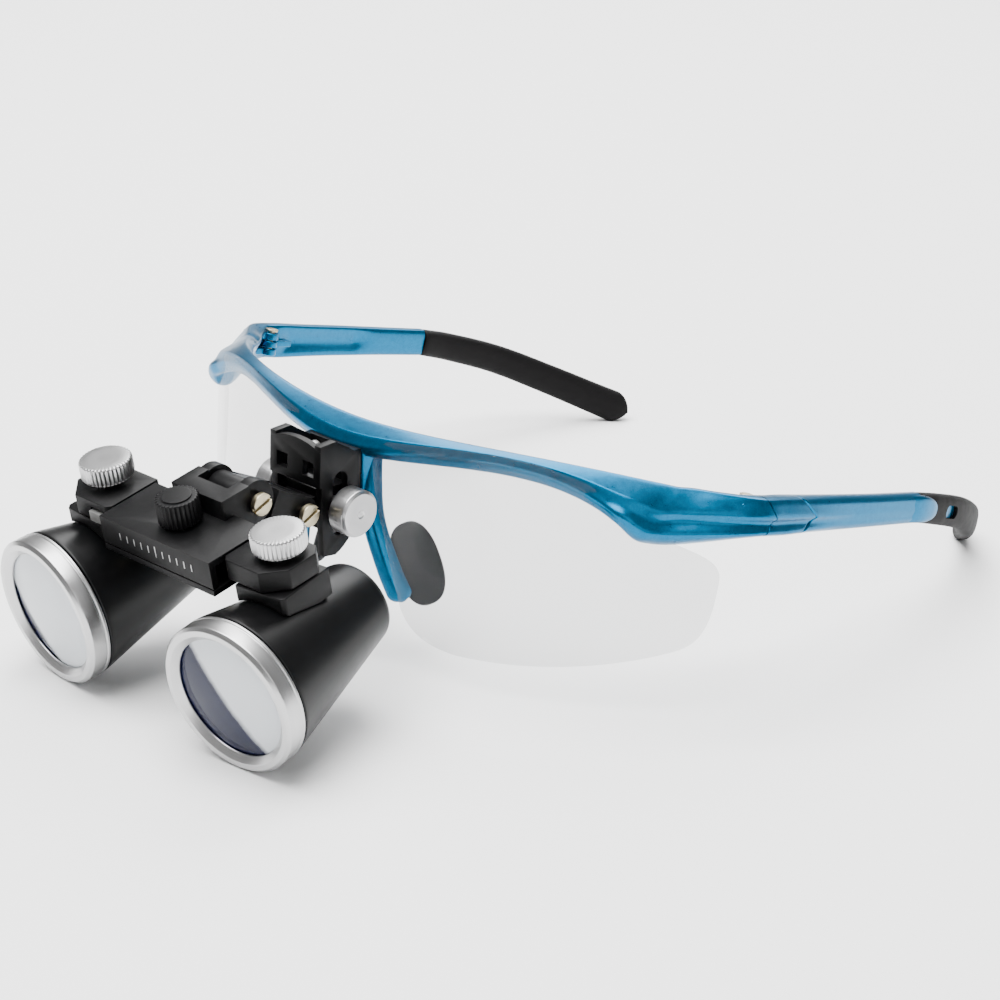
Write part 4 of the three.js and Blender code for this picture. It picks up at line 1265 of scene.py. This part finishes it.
@dataclass
class Mount:
    """Bracket, height slider, clamp and flip link, in the face frame."""

    clamp: tuple[float, float] = (-14.2, -11.8)
    knob: float = 4.7
    knob_span: tuple[float, float] = (8.4, 12.8)
    collar: tuple[float, float] = (3.0, 7.3)
    pivots: tuple[tuple[str, float, float], ...] = (
        ("rear", -23.2, -10.9), ("front", -35.5, -5.3))
    pin_head: tuple[float, float, float] = (2.2, 7.3, 8.5)
    nut: tuple[float, float, float] = (2.7, 7.3, 9.1)

    def clamp_knob(self, bench: Bench, side: Side) -> None:
        """A smooth disc with a bevelled rim and a faint turned centre, on a collar.

        Args:
            bench: where pieces are put.
            side: which knob.
        """
        turn = ALONG_X if side is Side.LEFT else turn_z(180) @ ALONG_X
        axis = FACE.child((0, *self.clamp), turn)
        (low, high), (neck, start) = self.knob_span, self.collar
        profile = [(0, start), (neck, start), (neck, low), (self.knob - 0.35, low),
                   (self.knob, low + 0.35), (self.knob, high - 0.55), (self.knob - 0.55, high),
                   (0.9, high), (0.6, high - 0.15), (0, high - 0.15)]
        shape = Shape(axis).turned(rounded(profile, 0.12), 128)
        bench.stand_in(f"clamp_knob_{side.suffix}", shape,
                       SATIN.build(f"_clamp_{side.suffix}", axis))

    def link_pin(self, bench: Bench, name: str, y: float, z: float) -> None:
        """A slotted pin with a flanged head on the left and a hexagon nut on the right.

        Args:
            bench: where pieces are put.
            name: which pivot.
            y: the pivot's Y.
            z: its Z.
        """
        axis = FACE.child((0, y, z), turn_x(24) @ ALONG_X)
        radius, low, high = self.pin_head
        shape = Shape(axis)
        shape.turned([(0, -9), (1.4, -9), (1.4, low + 0.2), (0, low + 0.2)], 40)
        slotted_head(shape, radius, low, high, 0.34)
        bench.stand_in(f"link_pin_{name}", shape, SCREW.build(f"_pin_{name}", axis))
        reach, inner, outer = self.nut
        angle = np.radians(np.arange(6) * 60)
        flat = rounded(np.column_stack([reach * np.cos(angle), reach * np.sin(angle)]), 0.25,
                       closed=True)
        hexagon = Shape(axis).prism(flat, -outer, -inner, 0.25)
        bench.stand_in(f"link_nut_{name}", hexagon, STEEL.build(f"_nut_{name}"))

    def make(self, bench: Bench) -> None:
        """Builds and dresses every piece of the mount.

        Args:
            bench: where pieces are put.
        """
        black = ANODISED.build()
        for node in ("mount_bracket", "height_slider", "flip_link"):
            bench.machined(node, black)
        bolt_axis = FACE.child((0, *self.clamp), ALONG_X)
        bolt = Shape(bolt_axis).turned([(0, -10.6), (1.6, -10.6), (1.6, 10.6), (0, 10.6)], 48)
        bench.stand_in("clamp_bolt", bolt, SATIN.build("_bolt", bolt_axis))
        for side in Side:
            self.clamp_knob(bench, side)
            bench.keep(f"bracket_screw_{side.suffix}", STEEL.build(f"_bracket_{side.suffix}"))
        for name, y, z in self.pivots:
            self.link_pin(bench, name, y, z)


@dataclass
class Bar:
    """Bar, cover, spacing knob and drive, carriages and thumbscrews, in the head frame."""

    front: float = -55.8
    tick_half: tuple[float, float] = (0.11, 0.75)
    tick_step: float = 2.0
    ticks: int = 11
    knob_y: float = -48.7
    knob: tuple[float, float, float] = (4.2, 3.3, 8.6)
    thumb: tuple[float, float] = (24.0, -45.9)
    thumb_head: tuple[float, float, float] = (5.2, 4.0, 7.6)
    carriage_top: float = 3.05
    cover_screw: tuple[float, float] = (11.0, -4.7)

    def knurl(self, rows: int, flat: int, ridges: int, depth: float) -> Array:
        """Share by which a knob's radius shrinks: depth * (0.5 - 0.5 cos(ridges a))^0.7.

        Args:
            rows: rows of the profile.
            flat: rows at each end that stay smooth.
            ridges: how many ridges go round.
            depth: the deepest share.

        Returns:
            Shares, shape (rows, ridges * 8).
        """
        angle = np.linspace(0, 2 * np.pi, ridges * 8, endpoint=False)
        row = depth * (0.5 - 0.5 * np.cos(ridges * angle)) ** 0.7
        on = np.zeros(rows)
        on[flat:rows - flat] = 1
        return on[:, None] * row

    def knob_profile(self, radius: float, low: float, high: float, rim: float) -> Array:
        """Half a section of a knob from its lower to its upper face, with rounded rims.

        Args:
            radius: the knob's radius.
            low: its lower face.
            high: its upper face.
            rim: radius of its rims.

        Returns:
            (radius, z) points.
        """
        bend = np.linspace(0, np.pi / 2, 5)
        lower = [(radius - rim * (1 - math.sin(a)), low + rim * (1 - math.cos(a))) for a in bend]
        upper = [(r, low + high - z) for r, z in reversed(lower)]
        return np.array([(0.01, low), *lower, *upper, (radius * 0.55, high), (0.01, high)])

    def spacing_knob(self, bench: Bench) -> None:
        """The tall black knurled knob that drives both carriages.

        Args:
            bench: where pieces are put.
        """
        axis = HEAD.child((0, self.knob_y, 0))
        radius, low, high = self.knob
        shape = Shape(axis)
        shape.turned([(0, 3.05), (3.2, 3.05), (3.2, low + 0.3), (0, low + 0.3)], 64)
        profile = self.knob_profile(radius, low, high - 0.3, 0.35)
        closed = np.vstack([(0, low), profile[1:-1], (0, high - 0.3)])
        shape.turned(closed, 30 * 8, self.knurl(len(closed), 2, 30, 0.07))
        cap = [(0, high - 0.4), (2.9, high - 0.4), (2.9, high), (0, high)]
        shape.turned(rounded(cap, 0.15), 64)
        bench.stand_in("pd_knob", shape, ANODISED.build("_knob", axis))

    def thumbscrew(self, bench: Bench, side: Side) -> None:
        """A knurled head on a short neck and a plain shank.

        Args:
            bench: where pieces are put.
            side: which thumbscrew.
        """
        x, y = self.thumb
        axis = HEAD.child((x * side.value, y, 0))
        radius, low, high = self.thumb_head
        shape = Shape(axis)
        shape.turned([(0, -4.6), (1.4, -4.6), (1.4, low + 0.1), (0, low + 0.1)], 48)
        shape.turned(rounded([(0, self.carriage_top), (2.5, self.carriage_top), (2.3, low + 0.2),
                              (0, low + 0.2)], 0.15), 64)
        profile = self.knob_profile(radius, low, high, 0.5)
        closed = np.vstack([(0, low), profile[1:-1], (0, high)])
        shape.turned(closed, 40 * 8, self.knurl(len(closed), 3, 40, 0.06))
        bench.stand_in(f"thumbscrew_{side.suffix}", shape,
                       SATIN.build(f"_thumb_{side.suffix}", axis), 50)

    def index_ticks(self, bench: Bench) -> None:
        """Plain index lines across the bar's front face, a longer one in the middle.

        Args:
            bench: where pieces are put.
        """
        shape = Shape(HEAD)
        half, tall = self.tick_half
        for k in range(self.ticks):
            x = (k - (self.ticks - 1) / 2) * self.tick_step
            reach = tall * (1.6 if k == self.ticks // 2 else 1.0)
            shape.block((x - half, self.front - 0.05, -0.1 - reach),
                        (x + half, self.front + 0.2, -0.1 + reach), 0.02)
        bench.put("bar_index_ticks", shape.mesh("bar_index_ticks"), SATIN.build("_ticks"),
                  bench.body_of("bar_housing"))

    def make(self, bench: Bench) -> None:
        """Builds and dresses every piece of the bar.

        Args:
            bench: where pieces are put.
        """
        black, steel = ANODISED.build("_bar"), STEEL.build("_drive")
        bench.machined("bar_housing", black)
        bench.machined("bar_cover", black, 0.15)
        self.index_ticks(bench)
        self.spacing_knob(bench)
        for node in ("pd_pinion", "rack_left", "rack_right"):
            bench.keep(node, steel)
        for side in Side:
            bench.machined(f"carriage_{side.suffix}", black, 0.3)
            self.thumbscrew(bench, side)
            x, low = self.cover_screw
            axis = HEAD.child((x * side.value, self.knob_y, 0), turn_x(180))
            screw = Shape(axis).turned([(0, 0.45), (0.7, 0.45), (0.7, 4.75), (0, 4.75)], 32)
            slotted_head(screw, 1.6, -low, 0.8 - low, 0.22)
            bench.stand_in(f"bar_cover_screw_{side.suffix}", screw,
                           SCREW.build(f"_cover_{side.suffix}", axis))


# ---------------------------------------------------------------- barrels


@dataclass
class Barrel:
    """One magnifier barrel with its shoe, turned about its own axis.

    Each lens is the arguments of dome.
    """

    side: Side
    toe_out: float = 5.0
    thumb: tuple[float, float] = (24.0, -45.9)
    axis: float = -17.6
    front: float = -19.9
    ring: tuple[float, float] = (15.1, 4.4)
    aperture: float = 12.1
    objective: tuple[float, ...] = (13.1, 1.3, 1.2, 1.8, 1.8)
    eyepiece: tuple[float, ...] = (6.7, -0.5, -0.6, 31.8, 2.0)
    # Start of each objective's painted reflection, left then right, in millimetres from the lens's middle.
    bloom_start: tuple[float, float] = (-1.0, -8.5)

    @property
    def bloom(self) -> float:
        """Where the painted reflection's pale side starts, in millimetres from the lens's middle."""
        return self.bloom_start[0 if self.side is Side.LEFT else 1]

    def datum(self) -> Datum:
        """The frame whose Z runs back along the barrel from its front face.

        Returns:
            The frame.
        """
        sign = self.side.value
        swivel = HEAD.child((sign * self.thumb[0], self.thumb[1], 0), turn_z(sign * self.toe_out))
        return swivel.child((0, self.front, self.axis), ALONG_Y)

    def front_ring(self) -> Array:
        """Profile of the ring: a wide inner bevel, a rounded lip, a groove and a plain side.

        Returns:
            (radius, z) points.
        """
        radius, depth = self.ring
        hole = self.aperture
        return rounded([
            (hole, 1.5), (hole, 1.15), (hole + 1.15, 0.1), (hole + 1.3, 0.0), (radius - 0.7, 0.0),
            (radius, 0.7), (radius, depth - 1.0), (radius - 0.18, depth - 0.9),
            (radius - 0.18, depth - 0.6), (radius, depth - 0.5), (radius, depth),
            (hole + 1.3, depth), (hole + 1.3, 1.5)], 0.16, closed=True)

    def housing(self) -> Array:
        """Profile of the housing: a spigot behind the ring, a long taper and a rounded end.

        Returns:
            (radius, z) points.
        """
        outer = [(12.0, 3.9), (13.1, 3.9), (13.1, 4.7), (14.75, 4.7), (15.0, 4.95), (14.9, 5.6)]
        taper = [(14.9 - 6.4 * t, 5.6 + 29.8 * t) for t in np.linspace(0, 1, 9)[1:]]
        end = [(8.35, 36.1), (8.0, 36.8), (7.4, 37.3), (7.0, 37.4), (7.0, 31.0), (11.9, 6.6)]
        return rounded([*outer, *taper, *end], 0.3, closed=True)

    def dome(self, radius: float, front_rise: float, back_rise: float, start: float,
             edge: float) -> Array:
        """Profile of a lens with parabolic faces: rise * (1 - r^2) off the rim's planes.

        Args:
            radius: the lens's radius.
            front_rise: how far the front face bulges.
            back_rise: how far the back face does.
            start: the rim's front plane.
            edge: the rim's width.

        Returns:
            (radius, z) points.
        """
        k = np.linspace(0, 1, 14)
        front = np.column_stack([k * radius, start - front_rise * (1 - k ** 2)])
        back = np.column_stack([k * radius, start + edge + back_rise * (1 - k ** 2)])
        return np.vstack([front, back[::-1]])

    def make(self, bench: Bench) -> None:
        """Builds and dresses every piece of the barrel.

        Args:
            bench: where pieces are put.
        """
        end, axis = self.side.suffix, self.datum()
        black = LACQUER.build(f"_{end}", axis)
        bench.machined(f"barrel_shoe_{end}", ANODISED.build(f"_shoe_{end}"), 0.3)
        bench.stand_in(f"barrel_housing_{end}", Shape(axis).turned(self.housing(), 160), black)
        bench.stand_in(f"front_ring_{end}", Shape(axis).turned(self.front_ring(), 192),
                       SATIN.build(f"_ring_{end}", axis), 30)
        # The objective lens gets a painted reflection: a pale diagonal step of colour over its dark glass.
        bench.stand_in(f"objective_lens_{end}",
                       Shape(axis).turned(self.dome(*self.objective), 128),
                       replace(OBJECTIVE, step=self.bloom).build(f"_{end}", axis), 60)
        stop = [(9.2, 9.2), (11.0, 9.2), (10.65, 11), (9.2, 11)]
        bench.stand_in(f"light_stop_{end}", Shape(axis).turned(rounded(stop, 0.2, closed=True), 96),
                       INNER.build(f"_{end}"))
        # The eyepiece lens gets the same painted reflection, its step at the lens's middle.
        bench.stand_in(f"eyepiece_lens_{end}",
                       Shape(axis).turned(self.dome(*self.eyepiece), 96),
                       OBJECTIVE.build(f"_eyepiece_{end}", axis), 60)
        ring = [(5.4, 34.5), (6.7, 34.5), (6.7, 37.0), (6.1, 37.0)]
        bench.stand_in(f"eyepiece_ring_{end}",
                       Shape(axis).turned(rounded(ring, 0.15, closed=True), 96),
                       ANODISED.build(f"_eyepiece_{end}"))


# ---------------------------------------------------------------- stage


@dataclass
class Studio:
    """Camera, lights and a pale floor."""

    eye: tuple[float, float, float] = (0.3391, -0.3805, 0.2198)
    target: tuple[float, float, float] = (0.01423, -0.01574, 0.02802)
    roll: float = 2.64
    focal: float = 93.6
    floor_half: float = 6.0
    sky: float = 0.32
    lamps: tuple[tuple[str, tuple[float, float, float], float, float], ...] = (
        ("key", (-0.15, -0.25, 1.35), 1.3, 66.0),
        ("fill", (0.95, -0.35, 0.55), 0.7, 2.5),
        ("back", (-0.5, 0.8, 0.9), 0.9, 20.0),
    )

    def camera(self) -> None:
        """Places the camera, turned about its own line of sight by roll degrees."""
        data = bpy.data.cameras.new("camera")
        data.lens = self.focal
        data.sensor_width = 36
        data.clip_start = 0.01
        view = bpy.data.objects.new("camera", data)
        bpy.context.scene.collection.objects.link(view)
        eye = Vector(self.eye)
        look = (Vector(self.target) - eye).to_track_quat("-Z", "Y")
        view.location = eye
        view.rotation_mode = "QUATERNION"
        view.rotation_quaternion = look @ Quaternion((0, 0, 1), math.radians(self.roll))
        bpy.context.scene.camera = view

    def lights(self) -> None:
        """Three soft lamps that face the object, under an even pale sky."""
        for name, place, size, power in self.lamps:
            data = bpy.data.lights.new(name, "AREA")
            data.size = size
            data.energy = power
            lamp = bpy.data.objects.new(name, data)
            bpy.context.scene.collection.objects.link(lamp)
            lamp.location = place
            lamp.rotation_euler = (-Vector(place)).to_track_quat("-Z", "Y").to_euler()
        world = bpy.data.worlds.new("sky")
        world.use_nodes = True
        sky = world.node_tree.nodes["Background"]
        sky.inputs["Color"].default_value = (1.0, 1.0, 1.0, 1)
        sky.inputs["Strength"].default_value = self.sky
        bpy.context.scene.world = world

    def floor(self) -> None:
        """A wide pale floor under the object."""
        h = self.floor_half
        data = bpy.data.meshes.new("floor")
        data.from_pydata([(-h, -h, 0), (h, -h, 0), (h, h, 0), (-h, h, 0)], [], [(0, 1, 2, 3)])
        floor = bpy.data.objects.new("floor", data)
        bpy.context.scene.collection.objects.link(floor)
        graph = Graph("pale_floor")
        graph.feed(graph.shader, Base_Color=(0.96, 0.96, 0.96, 1), Roughness=0.9,
                   Specular_IOR_Level=0.1)
        data.materials.append(graph.material)

    def make(self) -> None:
        """Sets the whole stage."""
        self.camera()
        self.lights()
        self.floor()


def main() -> None:
    """Builds the sub-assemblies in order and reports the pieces."""
    logging.basicConfig(level=logging.INFO, format="%(name)s: %(message)s")
    Studio().make()
    bench = Bench()
    Spectacles().make(bench)
    Mount().make(bench)
    Bar().make(bench)
    for side in Side:
        Barrel(side).make(bench)
    LOG.info("%d pieces made", len(bench.made))
    bpy.context.view_layer.update()


if __name__ == "__main__":
    main()
